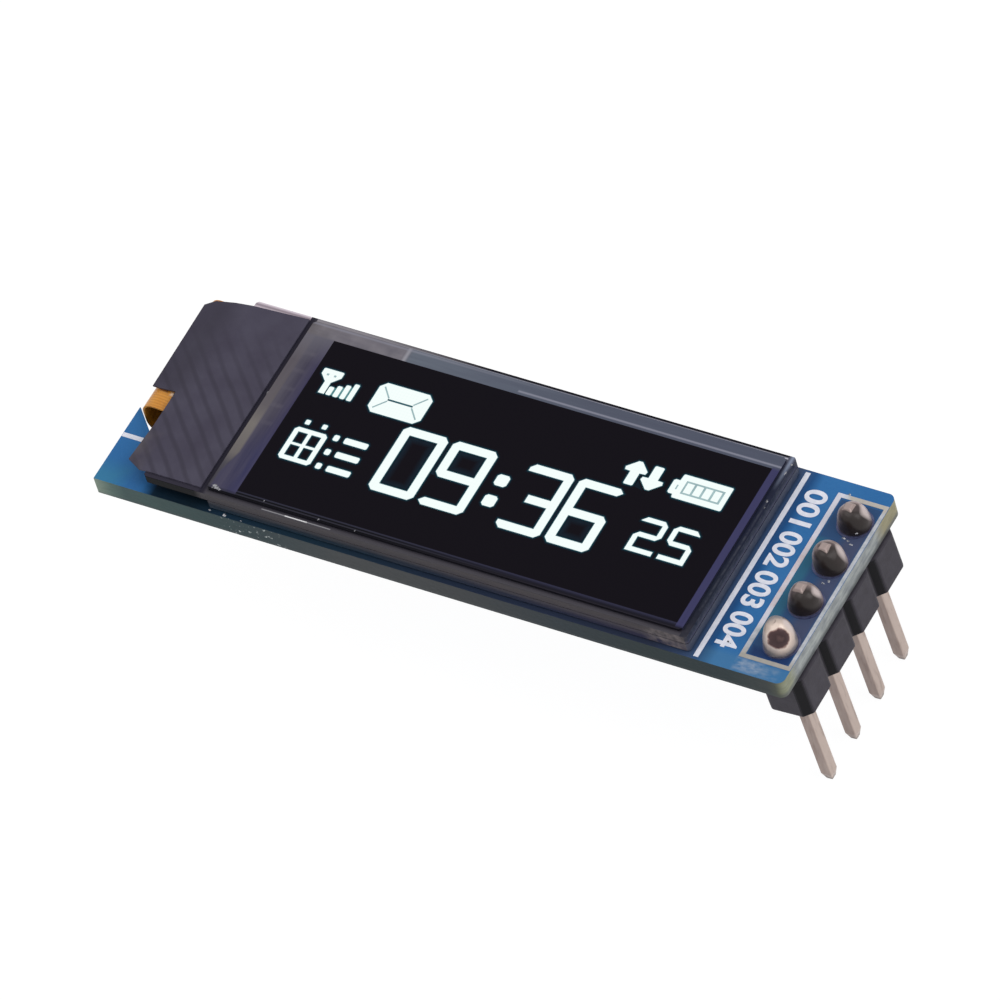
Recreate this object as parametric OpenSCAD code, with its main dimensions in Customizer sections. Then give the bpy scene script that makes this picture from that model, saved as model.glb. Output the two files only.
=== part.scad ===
// Small OLED display module: a glass panel taped to a narrow circuit board,
// joined to it by a folded ribbon, with a four-way pin header at the other end.
// Millimetres. +X runs towards the header end, +Z out of the display.
// The origin is the middle of the pin row, on the underside of the header housing.
// The header leans a little in its holes, so its pins point slightly away from the display.

/* [Circuit board] */
// Length of the board, from the ribbon end to the header end
board_length = 38; // [38:0.1:40]
// Width of the board
board_width = 12; // [12:0.1:13]
// Thickness of the board with its copper and solder mask
board_thickness = 1.1; // [1:0.1:1.6]
// Radius of the board's two corners at the header end
board_corner = 0.4; // [0.2:0.1:1]
// How far the cut-out for the ribbon reaches in from the board's end
cutout_depth = 2.4; // [2:0.1:2.8]
// Width of the ear that is left beside the cut-out
ear_width = 4.65; // [4.2:0.05:5]
// Length of the slanted edge where the ear gives way to the ribbon
ear_slant = 1.25; // [0.8:0.05:1.5]

/* [Display panel] */
// Length of the front glass, with the ledge that the ribbon is bonded to
panel_length = 30; // [28:0.1:31]
// Width of both glasses
panel_width = 11.5; // [11:0.1:12]
// Length of the rear glass, which leaves the ledge open
rear_glass_length = 26.6; // [25:0.1:27]
// Thickness of each glass
glass_thickness = 0.5; // [0.4:0.05:0.7]
// Distance from the panel to the header end of the board
panel_setback = 5.04; // [4.8:0.02:6]
// Thickness of the double-sided tape under the rear glass
mounting_tape_thickness = 0.1; // [0.05:0.05:0.3]
// Thickness of the polarizer film
polarizer_thickness = 0.15; // [0.1:0.01:0.2]
// Length of the dark window that the pixels lie in
window_length = 24.2; // [22:0.1:24.4]
// Width of the dark window
window_width = 9.75; // [9:0.05:9.8]

/* [Ribbon] */
// Width of the ribbon
ribbon_width = 7; // [6.9:0.1:7.2]
// Thickness of the ribbon
ribbon_thickness = 0.1; // [0.08:0.01:0.15]
// Radius of the upper bend, where the ribbon turns down
upper_bend = 0.6; // [0.4:0.05:0.7]
// Radius of the lower bend, where the ribbon turns under the board
lower_bend = 0.8; // [0.6:0.05:0.9]
// Number of soldered contacts at the end of the ribbon
contact_count = 14; // [10:1:14]
// Distance between neighbouring contacts
contact_pitch = 0.48; // [0.46:0.01:0.49]

/* [Cover tape] */
// Thickness of the black tape over the ledge
cover_tape_thickness = 0.08; // [0.05:0.01:0.12]

/* [Pin header] */
// Number of pins
pin_count = 4; // [4:1:4]
// Distance between neighbouring pins
pin_pitch = 2.54; // [2.54:0.01:2.54]
// Side of a square pin
pin_side = 0.6; // [0.5:0.02:0.64]
// Length of the pins below the housing
pin_length = 6.2; // [5.8:0.1:8]
// Height of the pins above the board
pin_stub = 1.35; // [1:0.05:1.8]
// Width and height of the housing
housing_side = 2.54; // [2.4:0.02:2.54]
// Depth of the notches between the housing's units
housing_notch = 0.42; // [0.3:0.02:0.6]
// Distance from the pin row to the end of the board
header_inset = 1.12; // [1:0.02:1.6]
// Angle by which the header leans in its holes
header_lean = 4; // [0:0.5:4.5]

/* [Hidden] */
$fn = 48;
copper = 0.035;
film = 0.03;

hole_radius = 0.5;
pad_radius = 0.92;

// The leaning housing's upper face meets the far edge of each plated ring, which sets the
// height of the board, and each pin crosses the board's middle at the centre of its hole
board_back = pow(cos(header_lean), 2)
    * (copper + pad_radius * tan(header_lean) + housing_side / cos(header_lean)
       - board_thickness / 2 * pow(tan(header_lean), 2));
board_top = board_back + board_thickness;
hole_x = -(board_back + board_thickness / 2) * tan(header_lean);

// Heights above the board
rear_glass_z = mounting_tape_thickness;
seal_z = rear_glass_z + glass_thickness;
seal_thickness = 0.02;
front_glass_z = seal_z + seal_thickness;
polarizer_z = front_glass_z + glass_thickness;

// Places along the board, from its ribbon end and its front edge
panel_end = board_length - panel_setback;
panel_x = panel_end - panel_length;
panel_y = (board_width - panel_width) / 2;
rear_glass_x = panel_end - rear_glass_length;
window_x = panel_end - 0.86 - window_length;
window_y = panel_y + 0.7;
recess_gap = 0.1;
recess_depth = 0.25;
ribbon_y = ear_width - 0.35;
ribbon_middle = ribbon_y + ribbon_width / 2;
ribbon_bond = 1.3;
ribbon_end = 6.2;
finger_length = 1;
finger_width = 0.32;
solder_film = 0.05;

// Middle of the ribbon's thickness at each stretch of its fold
ribbon_top_z = front_glass_z - ribbon_thickness / 2;
ribbon_bottom_z = -board_thickness - solder_film - ribbon_thickness / 2;
ribbon_fold_x = 0.5;
ribbon_crown_z = 0.87;
sway_run = panel_x - 0.06 - ribbon_fold_x - upper_bend;
sway_drop = ribbon_crown_z - ribbon_top_z;
sway_angle = 2 * atan(sway_drop / sway_run);
sway_bend = sway_run / (2 * sin(sway_angle));

// Header and solder
tip_length = 0.5;
tip_side = 0.34;
joint_heights = [1.75, 1.25, 1.3, 1.3];
joint_taper = [0.7, 1.1, 1, 1.2];

// Chip parts on the back: distance from the ribbon end, from the front edge, turn
chip_length = 1.6;
chip_width = 0.8;
capacitor_height = 0.8;
resistor_height = 0.45;
termination = 0.32;
capacitor_places = [
    [9.4, 4.6, 90], [9.4, 7.4, 90], [9.4, 10.2, 90], [11.6, 4.6, 90],
    [11.6, 7.4, 90], [30.6, 3.9, 90], [30.6, 8.1, 90]
];
resistor_places = [
    [9.4, 1.8, 90], [11.6, 1.8, 90], [11.6, 10.2, 90], [22.4, 4.2, 0], [22.4, 7.8, 0]
];
regulator_place = [27.2, 6, 90];
regulator_body_size = [2.9, 1.3, 1];
lead_places = [[-0.95, -1], [0.95, -1], [0, 1]];
lead_thickness = 0.12;
lead_width = 0.4;
lead_reach = 1.2;

// The board's own frame: from its ribbon end and front edge, up from its top face
module on_board() {
    translate([hole_x + header_inset - board_length, -board_width / 2, board_top]) children();
}

// A place on the board's back, turned, with +Z pointing away from the board
module on_back(place) {
    on_board() translate([place[0], place[1], -board_thickness])
        rotate([180, 0, place[2]]) children();
}

function pin_y(i) = (i - (pin_count + 1) / 2) * pin_pitch;

// The axis of hole i, at the height of the housing's underside
module at_hole(i) {
    translate([hole_x, pin_y(i), 0]) children();
}

// The header's own frame, which leans about the middle of the housing's underside
module leaning() {
    rotate([0, -header_lean, 0]) children();
}

// The axis of pin i, where it leaves the housing's underside
module at_pin(i) {
    leaning() translate([0, pin_y(i), 0]) children();
}

// A profile drawn in X and Z, run along +Y
module run_along_y(length) {
    translate([0, length, 0]) rotate([90, 0, 0]) linear_extrude(length) children();
}

// A rectangle whose four corners are cut off at 45 degrees
module cut_rectangle(length, width, cut) {
    polygon([
        [cut, 0], [length - cut, 0], [length, cut], [length, width - cut],
        [length - cut, width], [cut, width], [0, width - cut], [0, cut]
    ]);
}

// A plate that lies flat, with its four corners cut
module plate(length, width, thickness, cut) {
    linear_extrude(thickness) cut_rectangle(length, width, cut);
}

// A block centred in X and Y whose every edge is broken
module broken_block(length, width, height, cut) {
    intersection() {
        translate([-length / 2, -width / 2, 0]) plate(length, width, height, cut);
        translate([-length / 2, -width / 2, 0]) run_along_y(width) cut_rectangle(length, height, cut);
        translate([-length / 2, -width / 2, 0]) rotate([90, 0, 90])
            linear_extrude(length) cut_rectangle(width, height, cut);
    }
}

// ---- Circuit board ----

module board_outline() {
    slant_x = 0.05;
    difference() {
        union() {
            square([board_length - board_corner, board_width]);
            translate([0, board_corner]) square([board_length, board_width - 2 * board_corner]);
            for (y = [board_corner, board_width - board_corner])
                translate([board_length - board_corner, y]) circle(board_corner);
        }
        polygon([
            [-1, ear_width], [slant_x, ear_width], [slant_x + ear_slant, ear_width - ear_slant],
            [cutout_depth, ear_width - ear_slant], [cutout_depth, board_width + 1], [-1, board_width + 1]
        ]);
    }
}

module board() {
    color([0.16, 0.38, 0.62]) difference() {
        on_board() translate([0, 0, -board_thickness]) linear_extrude(board_thickness) board_outline();
        for (i = [1:pin_count]) at_hole(i)
            translate([0, 0, board_back - 1]) cylinder(r = hole_radius + copper, h = board_thickness + 2);
    }
}

// A copper barrel with a ring on each face of the board
module plated_hole(i) {
    color([0.75, 0.66, 0.45]) at_hole(i) difference() {
        union() {
            translate([0, 0, board_back - copper]) cylinder(r = pad_radius, h = copper);
            translate([0, 0, board_back]) cylinder(r = hole_radius + copper, h = board_thickness);
            translate([0, 0, board_top]) cylinder(r = pad_radius, h = copper);
        }
        translate([0, 0, board_back - 1]) cylinder(r = hole_radius, h = board_thickness + 2);
    }
}

// ---- Display panel ----

module mounting_tape() {
    inset = 0.5;
    color([0.12, 0.12, 0.14]) on_board() translate([rear_glass_x + inset, panel_y + inset, 0])
        cube([rear_glass_length - 2 * inset, panel_width - 2 * inset, mounting_tape_thickness]);
}

module recess_outline() {
    translate([window_x - recess_gap, window_y - recess_gap])
        cut_rectangle(window_length + 2 * recess_gap, window_width + 2 * recess_gap, recess_gap);
}

module rear_glass() {
    color([0.33, 0.32, 0.36]) on_board() difference() {
        translate([rear_glass_x, panel_y, rear_glass_z])
            plate(rear_glass_length, panel_width, glass_thickness, 0.12);
        translate([0, 0, seal_z - recess_depth]) linear_extrude(1) recess_outline();
    }
}

module desiccant_sheet() {
    inset = 2;
    color([0.85, 0.84, 0.8]) on_board()
        translate([window_x + inset, window_y + inset, seal_z - recess_depth])
            cube([window_length - 2 * inset, window_width - 2 * inset, 0.1]);
}

module seal_ring() {
    inset = 0.1;
    color([0.45, 0.42, 0.36]) on_board() translate([0, 0, seal_z]) linear_extrude(seal_thickness)
        difference() {
            translate([rear_glass_x + inset, panel_y + inset])
                square([rear_glass_length - 2 * inset, panel_width - 2 * inset]);
            recess_outline();
        }
}

module pixel_layer() {
    color([0.06, 0.05, 0.07]) on_board() translate([window_x, window_y, seal_z])
        cube([window_length, window_width, seal_thickness]);
}

module front_glass() {
    color([0.4, 0.4, 0.46]) on_board() translate([panel_x, panel_y, front_glass_z])
        plate(panel_length, panel_width, glass_thickness, 0.12);
}

module polarizer() {
    start = rear_glass_x + 0.05;
    end_gap = 0.36;
    side_gap = 0.28;
    color([0.1, 0.09, 0.12]) on_board() translate([start, panel_y + side_gap, polarizer_z])
        plate(panel_end - end_gap - start, panel_width - 2 * side_gap, polarizer_thickness, 0.15);
}

module driver_chip() {
    length = 6.8;
    width = 0.9;
    height = 0.3;
    color([0.3, 0.3, 0.33]) on_board()
        translate([panel_x + 1.95, (board_width - length) / 2, front_glass_z - height])
            cube([width, length, height]);
}

// ---- Ribbon ----

// Part of a ring of the ribbon's thickness, from one angle to another under 180 degrees
module bend(radius, from, to) {
    reach = 2 * radius;
    middle = (from + to) / 2;
    intersection() {
        difference() {
            circle(radius + ribbon_thickness / 2);
            circle(radius - ribbon_thickness / 2);
        }
        polygon([
            [0, 0], reach * [cos(from), sin(from)], reach * [cos(middle), sin(middle)],
            reach * [cos(to), sin(to)]
        ]);
    }
}

module straight(from, to, z) {
    translate([from, z - ribbon_thickness / 2]) square([to - from, ribbon_thickness]);
}

module ribbon_fold() {
    crown_x = ribbon_fold_x + upper_bend;
    upper_z = ribbon_crown_z - upper_bend;
    lower_z = ribbon_bottom_z + lower_bend;
    sway_end = crown_x + sway_run;
    translate([crown_x, ribbon_crown_z - sway_bend]) bend(sway_bend, 90 - sway_angle, 90);
    translate([sway_end, ribbon_top_z + sway_bend]) bend(sway_bend, 270 - sway_angle, 270);
    straight(sway_end, panel_x + ribbon_bond, ribbon_top_z);
    translate([crown_x, upper_z]) bend(upper_bend, 90, 180);
    translate([ribbon_fold_x - ribbon_thickness / 2, lower_z])
        square([ribbon_thickness, upper_z - lower_z]);
    translate([ribbon_fold_x + lower_bend, lower_z]) bend(lower_bend, 180, 270);
    straight(ribbon_fold_x + lower_bend, ribbon_end, ribbon_bottom_z);
}

// The gaps that divide the ribbon's end into contact fingers
module finger_gaps() {
    gap = contact_pitch - finger_width;
    for (i = [1:contact_count - 1])
        translate([ribbon_end - finger_length, contact_y(i) + contact_pitch / 2 - gap / 2, ribbon_bottom_z - 1])
            cube([finger_length + 1, gap, 2]);
}

function contact_y(i) = ribbon_middle + (i - (contact_count + 1) / 2) * contact_pitch;

module ribbon() {
    color([0.85, 0.55, 0.2]) on_board() difference() {
        translate([0, ribbon_y, 0]) run_along_y(ribbon_width) ribbon_fold();
        finger_gaps();
    }
}

// One joint under each finger, drawn up to the finger's end
module ribbon_solder() {
    reach = 0.45;
    depth = solder_film + ribbon_thickness;
    color([0.72, 0.72, 0.7]) on_board() for (i = [1:contact_count])
        translate([ribbon_end, contact_y(i) - finger_width / 2, -board_thickness])
            run_along_y(finger_width) polygon([
                [-finger_length, 0], [-finger_length, -solder_film], [0, -solder_film], [0, -depth],
                [0.25 * reach, -0.8 * depth], [0.65 * reach, -0.35 * depth], [reach, 0]
            ]);
}

// ---- Cover tape ----

// Flat on the ledge, falling towards the crown of the ribbon, and level beyond it
module cover_tape() {
    tape_end = 6.1;
    crown_x = ribbon_fold_x + upper_bend;
    low = ribbon_crown_z + ribbon_thickness / 2 + 0.02;
    t = cover_tape_thickness;
    color([0.22, 0.21, 0.25]) on_board() intersection() {
        run_along_y(board_width) polygon([
            [0, low], [crown_x, low], [panel_x, polarizer_z], [tape_end, polarizer_z],
            [tape_end, polarizer_z + t], [panel_x, polarizer_z + t], [crown_x, low + t], [0, low + t]
        ]);
        linear_extrude(3) polygon([
            [tape_end, 0.5], [2.6, 0.5], [1.75, 0.95], [1.9, 3.2], [1.9, 5.4], [0.57, 5.4],
            [0.49, 10.75], [0.95, 11.15], [2, 11.3], [tape_end, 11.5]
        ]);
    }
}

// ---- Pin header ----

// Half of the housing's outline, with a notch between each two units
function housing_edge(side) = [
    for (i = [1:pin_count], step = [-1, 1])
        [side * housing_side / 2,
         (i - (pin_count + 1) / 2) * pin_pitch + step * (pin_pitch / 2 - housing_notch)]
];
function housing_gaps(side) = [
    for (i = [0:pin_count])
        [side * (housing_side / 2 - housing_notch), (i - pin_count / 2) * pin_pitch]
];
function reversed(points) = [for (i = [len(points) - 1:-1:0]) points[i]];
function housing_side_points(side) = [
    for (i = [0:3 * pin_count])
        i % 3 == 0 ? housing_gaps(side)[i / 3] : housing_edge(side)[2 * floor(i / 3) + i % 3 - 1]
];

module header_housing() {
    color([0.12, 0.12, 0.13]) difference() {
        leaning() linear_extrude(housing_side)
            polygon(concat(housing_side_points(1), reversed(housing_side_points(-1))));
        for (i = [1:pin_count]) at_pin(i) translate([-pin_side / 2, -pin_side / 2, -1])
            cube([pin_side, pin_side, housing_side + 2]);
    }
}

// A square bar's profile with both ends drawn in
module pin_profile() {
    half = pin_side / 2;
    tip = tip_side / 2;
    top = board_top + pin_stub;
    polygon([
        [-tip, -pin_length], [tip, -pin_length], [half, tip_length - pin_length],
        [half, top - tip_length / 3], [tip, top], [-tip, top], [-half, top - tip_length / 3],
        [-half, tip_length - pin_length]
    ]);
}

module pin_shape() {
    intersection() {
        translate([0, -pin_side / 2, 0]) run_along_y(pin_side) pin_profile();
        translate([-pin_side / 2, 0, 0]) rotate([90, 0, 90]) linear_extrude(pin_side) pin_profile();
    }
}

module header_pin(i) {
    color([0.72, 0.66, 0.6]) at_pin(i) pin_shape();
}

// Solder fills the barrel and stands round the pin as a bead
module solder_joint(i) {
    steps = 8;
    foot = board_top + copper;
    height = joint_heights[i - 1] - copper;
    color([0.42, 0.38, 0.36]) difference() {
        at_hole(i) rotate_extrude() polygon(concat(
            [[0, board_back], [hole_radius, board_back], [hole_radius, foot]],
            [for (k = [0:steps - 1])
                [pad_radius * pow(cos(90 * k / steps), joint_taper[i - 1]),
                 foot + height * sin(90 * k / steps)]],
            [[0, foot + height]]
        ));
        at_pin(i) pin_shape();
    }
}

// ---- Chip parts on the back ----

// A ceramic block with a metal cap over each end, seated on its solder
module chip(length, width, height, body_drop) {
    for (side = [-1, 1]) translate([side * (length - termination) / 2, 0, film])
        broken_block(termination, width, height, 0.05);
    translate([0, 0, film + body_drop / 2])
        broken_block(length - termination, width - body_drop, height - body_drop, 0.03);
}

module capacitor(i) {
    color([0.72, 0.6, 0.45]) on_back(capacitor_places[i - 1])
        chip(chip_length, chip_width, capacitor_height, 0.05);
}

module resistor(i) {
    color([0.15, 0.15, 0.16]) on_back(resistor_places[i - 1])
        chip(chip_length, chip_width, resistor_height, 0.04);
}

// Solder under a metal end and up its face, hollow like a skate ramp
module fillet(under, width, climb, reach) {
    steps = 5;
    translate([0, -width / 2, 0]) run_along_y(width) polygon(concat(
        [[-under, 0], [-under, film], [0, film]],
        [for (k = [0:steps]) [reach * k / steps, climb * pow(1 - k / steps, 2)]]
    ));
}

module chip_solder() {
    reach = 0.35;
    color([0.75, 0.75, 0.73]) {
        for (place = capacitor_places, side = [0, 180]) on_back(place) rotate(side)
            translate([chip_length / 2, 0, 0])
                fillet(termination, chip_width - 0.1, 0.6 * capacitor_height, reach);
        for (place = resistor_places, side = [0, 180]) on_back(place) rotate(side)
            translate([chip_length / 2, 0, 0])
                fillet(termination, chip_width - 0.1, 0.7 * resistor_height, reach);
    }
}

// ---- Voltage regulator ----

// A moulded side, widest at the parting line half way up
module moulded_side(length, height) {
    draft = 0.09;
    polygon([
        [draft - length / 2, 0], [length / 2 - draft, 0], [length / 2, height / 2],
        [length / 2 - draft, height], [draft - length / 2, height], [-length / 2, height / 2]
    ]);
}

module regulator_body() {
    stand_off = 0.1;
    length = regulator_body_size[0];
    width = regulator_body_size[1];
    height = regulator_body_size[2];
    color([0.14, 0.14, 0.15]) on_back(regulator_place) translate([0, 0, stand_off]) difference() {
        intersection() {
            translate([0, -width, 0]) run_along_y(2 * width) moulded_side(length, height);
            translate([-length, 0, 0]) rotate([90, 0, 90]) linear_extrude(2 * length)
                moulded_side(width, height);
        }
        lead_slots();
    }
}

// Where the leads enter the body, seen from the body's underside
module lead_slots() {
    for (place = lead_places) translate([place[0] - lead_width / 2, 0, lead_exit_z() - 0.1])
        scale([1, place[1], 1]) lead_socket();
}

function lead_exit_z() = 0.1 + regulator_body_size[2] / 2 - lead_thickness / 2;
function lead_root() = regulator_body_size[1] / 2 - 0.25;

module lead_socket() {
    translate([0, lead_root(), 0]) cube([lead_width, 1, lead_thickness]);
}

// A gull-wing lead: out of the body, down, and out again to a foot
module lead_profile() {
    knee = regulator_body_size[1] / 2 + 0.15;
    t = lead_thickness;
    high = lead_exit_z();
    polygon([
        [lead_root(), high], [knee - 0.04, high], [knee + 0.04, film], [lead_reach, film],
        [lead_reach, film + t], [knee + 0.15, film + t], [knee + 0.07, high + t],
        [lead_root(), high + t]
    ]);
}

module regulator_lead(i) {
    place = lead_places[i - 1];
    color([0.78, 0.77, 0.75]) on_back(regulator_place)
        rotate(place[1] > 0 ? 0 : 180) translate([place[0] * place[1] - lead_width / 2, 0, 0])
            rotate([90, 0, 90]) linear_extrude(lead_width) lead_profile();
}

module regulator_solder() {
    reach = 0.22;
    foot = 0.38;
    color([0.75, 0.75, 0.73]) on_back(regulator_place) for (place = lead_places)
        rotate(place[1] > 0 ? 90 : -90)
            translate([lead_reach, -place[0] * place[1], 0])
                fillet(foot, lead_width, 1.2 * lead_thickness, reach);
}

board();
mounting_tape();
rear_glass();
desiccant_sheet();
seal_ring();
pixel_layer();
front_glass();
polarizer();
driver_chip();
ribbon();
ribbon_solder();
cover_tape();
header_housing();
for (i = [1:pin_count]) {
    header_pin(i);
    plated_hole(i);
    solder_joint(i);
}
regulator_body();
for (i = [1:len(lead_places)])
    regulator_lead(i);
for (i = [1:len(capacitor_places)])
    capacitor(i);
for (i = [1:len(resistor_places)])
    resistor(i);
chip_solder();
regulator_solder();
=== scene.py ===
# Small OLED display module: a glass panel on a narrow blue circuit board, on a pale studio table.
# Metres, in the part's own frame. Sizes that belong to the board's face are written in millimetres
# from its ribbon end, its front edge and its top face, and placed by the board's own box.
import math

import bmesh
import bpy
import numpy as np
from mathutils import Matrix, Vector


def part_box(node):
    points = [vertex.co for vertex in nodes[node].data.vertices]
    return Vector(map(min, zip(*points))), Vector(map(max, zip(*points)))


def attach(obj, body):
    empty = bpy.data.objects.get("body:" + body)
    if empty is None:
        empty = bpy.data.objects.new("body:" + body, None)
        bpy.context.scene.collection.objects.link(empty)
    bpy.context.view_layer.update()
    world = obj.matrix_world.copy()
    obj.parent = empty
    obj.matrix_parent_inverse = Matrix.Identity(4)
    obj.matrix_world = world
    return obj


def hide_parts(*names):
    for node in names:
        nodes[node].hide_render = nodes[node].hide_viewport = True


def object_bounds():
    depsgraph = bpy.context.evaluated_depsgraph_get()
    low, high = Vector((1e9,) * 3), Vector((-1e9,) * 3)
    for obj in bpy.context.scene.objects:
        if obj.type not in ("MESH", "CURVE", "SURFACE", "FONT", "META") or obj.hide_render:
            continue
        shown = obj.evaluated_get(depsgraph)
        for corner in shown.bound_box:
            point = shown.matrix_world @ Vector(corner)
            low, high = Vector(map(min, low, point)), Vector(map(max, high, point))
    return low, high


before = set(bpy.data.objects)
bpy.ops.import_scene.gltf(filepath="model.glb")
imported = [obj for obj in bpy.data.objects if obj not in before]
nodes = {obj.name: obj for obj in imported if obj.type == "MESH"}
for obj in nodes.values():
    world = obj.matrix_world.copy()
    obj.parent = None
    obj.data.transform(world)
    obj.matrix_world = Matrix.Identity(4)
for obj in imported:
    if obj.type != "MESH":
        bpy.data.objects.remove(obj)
cad_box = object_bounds()

# ---- Camera ----
# A long lens looks down on the display from beyond the header end, and the
# camera is turned so that the board runs down to the right.

MM = 0.001
AZIMUTH, ELEVATION, ROLL = (math.radians(angle) for angle in (41.919, 49.021, -17.605))
CAMERA_DISTANCE = 0.52957
AIM_PLACE = Vector((19.802, 5.426, 0))
LENS_LENGTH = 400
SENSOR_WIDTH = 36

board_low, board_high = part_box("board")
corner = Vector((board_low.x, board_low.y, board_high.z))
aim = corner + AIM_PLACE * MM


def direction(azimuth, elevation):
    """The unit vector towards an azimuth, counted from the board's front edge, and an elevation."""
    return Vector((
        math.sin(azimuth) * math.cos(elevation), -math.cos(azimuth) * math.cos(elevation), math.sin(elevation)
    ))


backward = direction(AZIMUTH, ELEVATION)
level = Vector((math.cos(AZIMUTH), math.sin(AZIMUTH), 0))
upright = backward.cross(level)
rightward = math.cos(ROLL) * level + math.sin(ROLL) * upright
upward = math.cos(ROLL) * upright - math.sin(ROLL) * level

lens = bpy.data.cameras.new("camera")
lens.lens = LENS_LENGTH
lens.sensor_width = SENSOR_WIDTH
lens.clip_start = 0.01
camera = bpy.data.objects.new("camera", lens)
bpy.context.scene.collection.objects.link(camera)
turn = Matrix((rightward, upward, backward)).transposed().to_4x4()
camera.matrix_world = Matrix.Translation(aim + CAMERA_DISTANCE * backward) @ turn
bpy.context.scene.camera = camera

# ---- Floor and light ----
# A plain pale table under the pins, a white tent all round, and two large soft
# lamps: one high beyond the header end and one over the display.

FLOOR_GAP = 0.02 * MM
FLOOR_HALF = 1.5
TENT_LIGHT = 0.62
TABLE_SHARE = 0.9
TABLE_GLOW = 1.06


def tone(code):
    """A hex colour as the linear red, green, blue and alpha that a shader takes."""
    parts = np.array([int(code[i:i + 2], 16) for i in (0, 2, 4)]) / 255
    linear = np.where(parts <= 0.04045, parts / 12.92, ((parts + 0.055) / 1.055) ** 2.4)
    return (*linear, 1.0)


def add(tree, kind, sockets=(), **settings):
    """A shader node with its settings; each of its sockets takes a value or another node's output."""
    node = tree.nodes.new("ShaderNode" + kind)
    for key, value in settings.items():
        setattr(node, key, value)
    for key, value in dict(sockets).items():
        if isinstance(value, bpy.types.NodeSocket):
            tree.links.new(value, node.inputs[key])
        else:
            node.inputs[key].default_value = value
    return node


def math_node(tree, operation, first, second=0.0, clamp=False):
    """The result of one sum on two numbers or outputs."""
    return add(tree, "Math", {0: first, 1: second}, operation=operation, use_clamp=clamp).outputs[0]


def times(tree, *factors):
    """The product of several numbers or outputs."""
    product = factors[0]
    for factor in factors[1:]:
        product = math_node(tree, "MULTIPLY", product, factor)
    return product


def seen_directly(tree):
    """1 for rays from the camera, a mirror or through glass, and 0 for rays that only bring light."""
    path = add(tree, "LightPath")
    mirrored = math_node(tree, "MAXIMUM", path.outputs["Is Camera Ray"], path.outputs["Is Glossy Ray"])
    return math_node(tree, "MAXIMUM", mirrored, path.outputs["Is Transmission Ray"])


world = bpy.data.worlds.new("tent")
bpy.context.scene.world = world
world.use_nodes = True
sky = world.node_tree
sky.nodes.clear()
tent_level = add(sky, "MapRange", {"Value": seen_directly(sky), "To Min": TENT_LIGHT, "To Max": 1.0})
tent = add(sky, "Background", {"Color": (1, 1, 1, 1), "Strength": tent_level.outputs[0]})
sky.links.new(tent.outputs[0], add(sky, "OutputWorld").inputs["Surface"])

floor_paint = bpy.data.materials.new("pale_table")
floor_paint.use_nodes = True
table = floor_paint.node_tree
table.nodes.clear()
matt = add(table, "BsdfDiffuse", {"Color": tone("f0f0f0")})
bright = add(table, "Emission", {"Color": (1, 1, 1, 1), "Strength": TABLE_GLOW})
share = times(table, seen_directly(table), TABLE_SHARE)
blend = add(table, "MixShader", {0: share, 1: matt.outputs[0], 2: bright.outputs[0]})
table.links.new(blend.outputs[0], add(table, "OutputMaterial").inputs["Surface"])

floor_height = cad_box[0].z - FLOOR_GAP
floor_mesh = bpy.data.meshes.new("table")
floor_signs = ((-1, -1), (1, -1), (1, 1), (-1, 1))
floor_corners = [(x * FLOOR_HALF, y * FLOOR_HALF, floor_height) for x, y in floor_signs]
floor_mesh.from_pydata(floor_corners, [], [(0, 1, 2, 3)])
floor_mesh.materials.append(floor_paint)
floor = bpy.data.objects.new("table", floor_mesh)
bpy.context.scene.collection.objects.link(floor)


def soft_lamp(name, azimuth, elevation, distance, side, power):
    """A square lamp at this direction and distance from the module's middle, turned to face it."""
    towards_lamp = direction(azimuth, elevation)
    lamp = bpy.data.lights.new(name, "AREA")
    lamp.shape = "SQUARE"
    lamp.size = side
    lamp.energy = power
    holder = bpy.data.objects.new(name, lamp)
    holder.location = aim + distance * towards_lamp
    holder.rotation_euler = towards_lamp.to_track_quat("Z", "Y").to_euler()
    bpy.context.scene.collection.objects.link(holder)


soft_lamp("header_side_lamp", math.radians(95), math.radians(40), 0.7, 0.5, 1.5)
soft_lamp("top_lamp", math.radians(-20), math.radians(75), 0.8, 0.6, 1.2)

bpy.context.scene.view_settings.view_transform = "Standard"

# ---- Circuit board ----
# Woven glass and resin laminate with blue solder mask on both faces; its milled
# edges show the bare laminate, greenish where the light comes through the glass. Painted shade makes
# the front edge darker than the end, and darkens the mask at the display panel's foot.


def board_place(tree):
    """Object coordinates in the board's millimetres."""
    where = add(tree, "TexCoord").outputs["Object"]
    to_board = {"Vector": where, "Location": -corner / MM, "Scale": (1 / MM,) * 3}
    return add(tree, "Mapping", to_board).outputs["Vector"]


def new_material(name, **sockets):
    """A material with one Principled shader, whose named sockets are set; gives the material, its tree,
    the shader and the place in the board's millimetres."""
    material = bpy.data.materials.new(name)
    material.use_nodes = True
    surface = material.node_tree.nodes["Principled BSDF"]
    for key, value in sockets.items():
        surface.inputs[key.replace("_", " ")].default_value = value
    return material, material.node_tree, surface, board_place(material.node_tree)


def coat(tree, surface, colour):
    """Gives a shader its colour."""
    tree.links.new(colour, surface.inputs["Base Color"])


def dress(node, material):
    """Gives a CAD node its finish."""
    nodes[node].data.materials.clear()
    nodes[node].data.materials.append(material)


def new_group(name, inputs, outputs):
    """An empty shader node group with these sockets; gives the group and its two end nodes."""
    group = bpy.data.node_groups.new(name, "ShaderNodeTree")
    for way, sockets in (("INPUT", inputs), ("OUTPUT", outputs)):
        for label, kind in sockets:
            group.interface.new_socket(label, in_out=way, socket_type="NodeSocket" + kind)
    return group, group.nodes.new("NodeGroupInput").outputs, group.nodes.new("NodeGroupOutput").inputs


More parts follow.
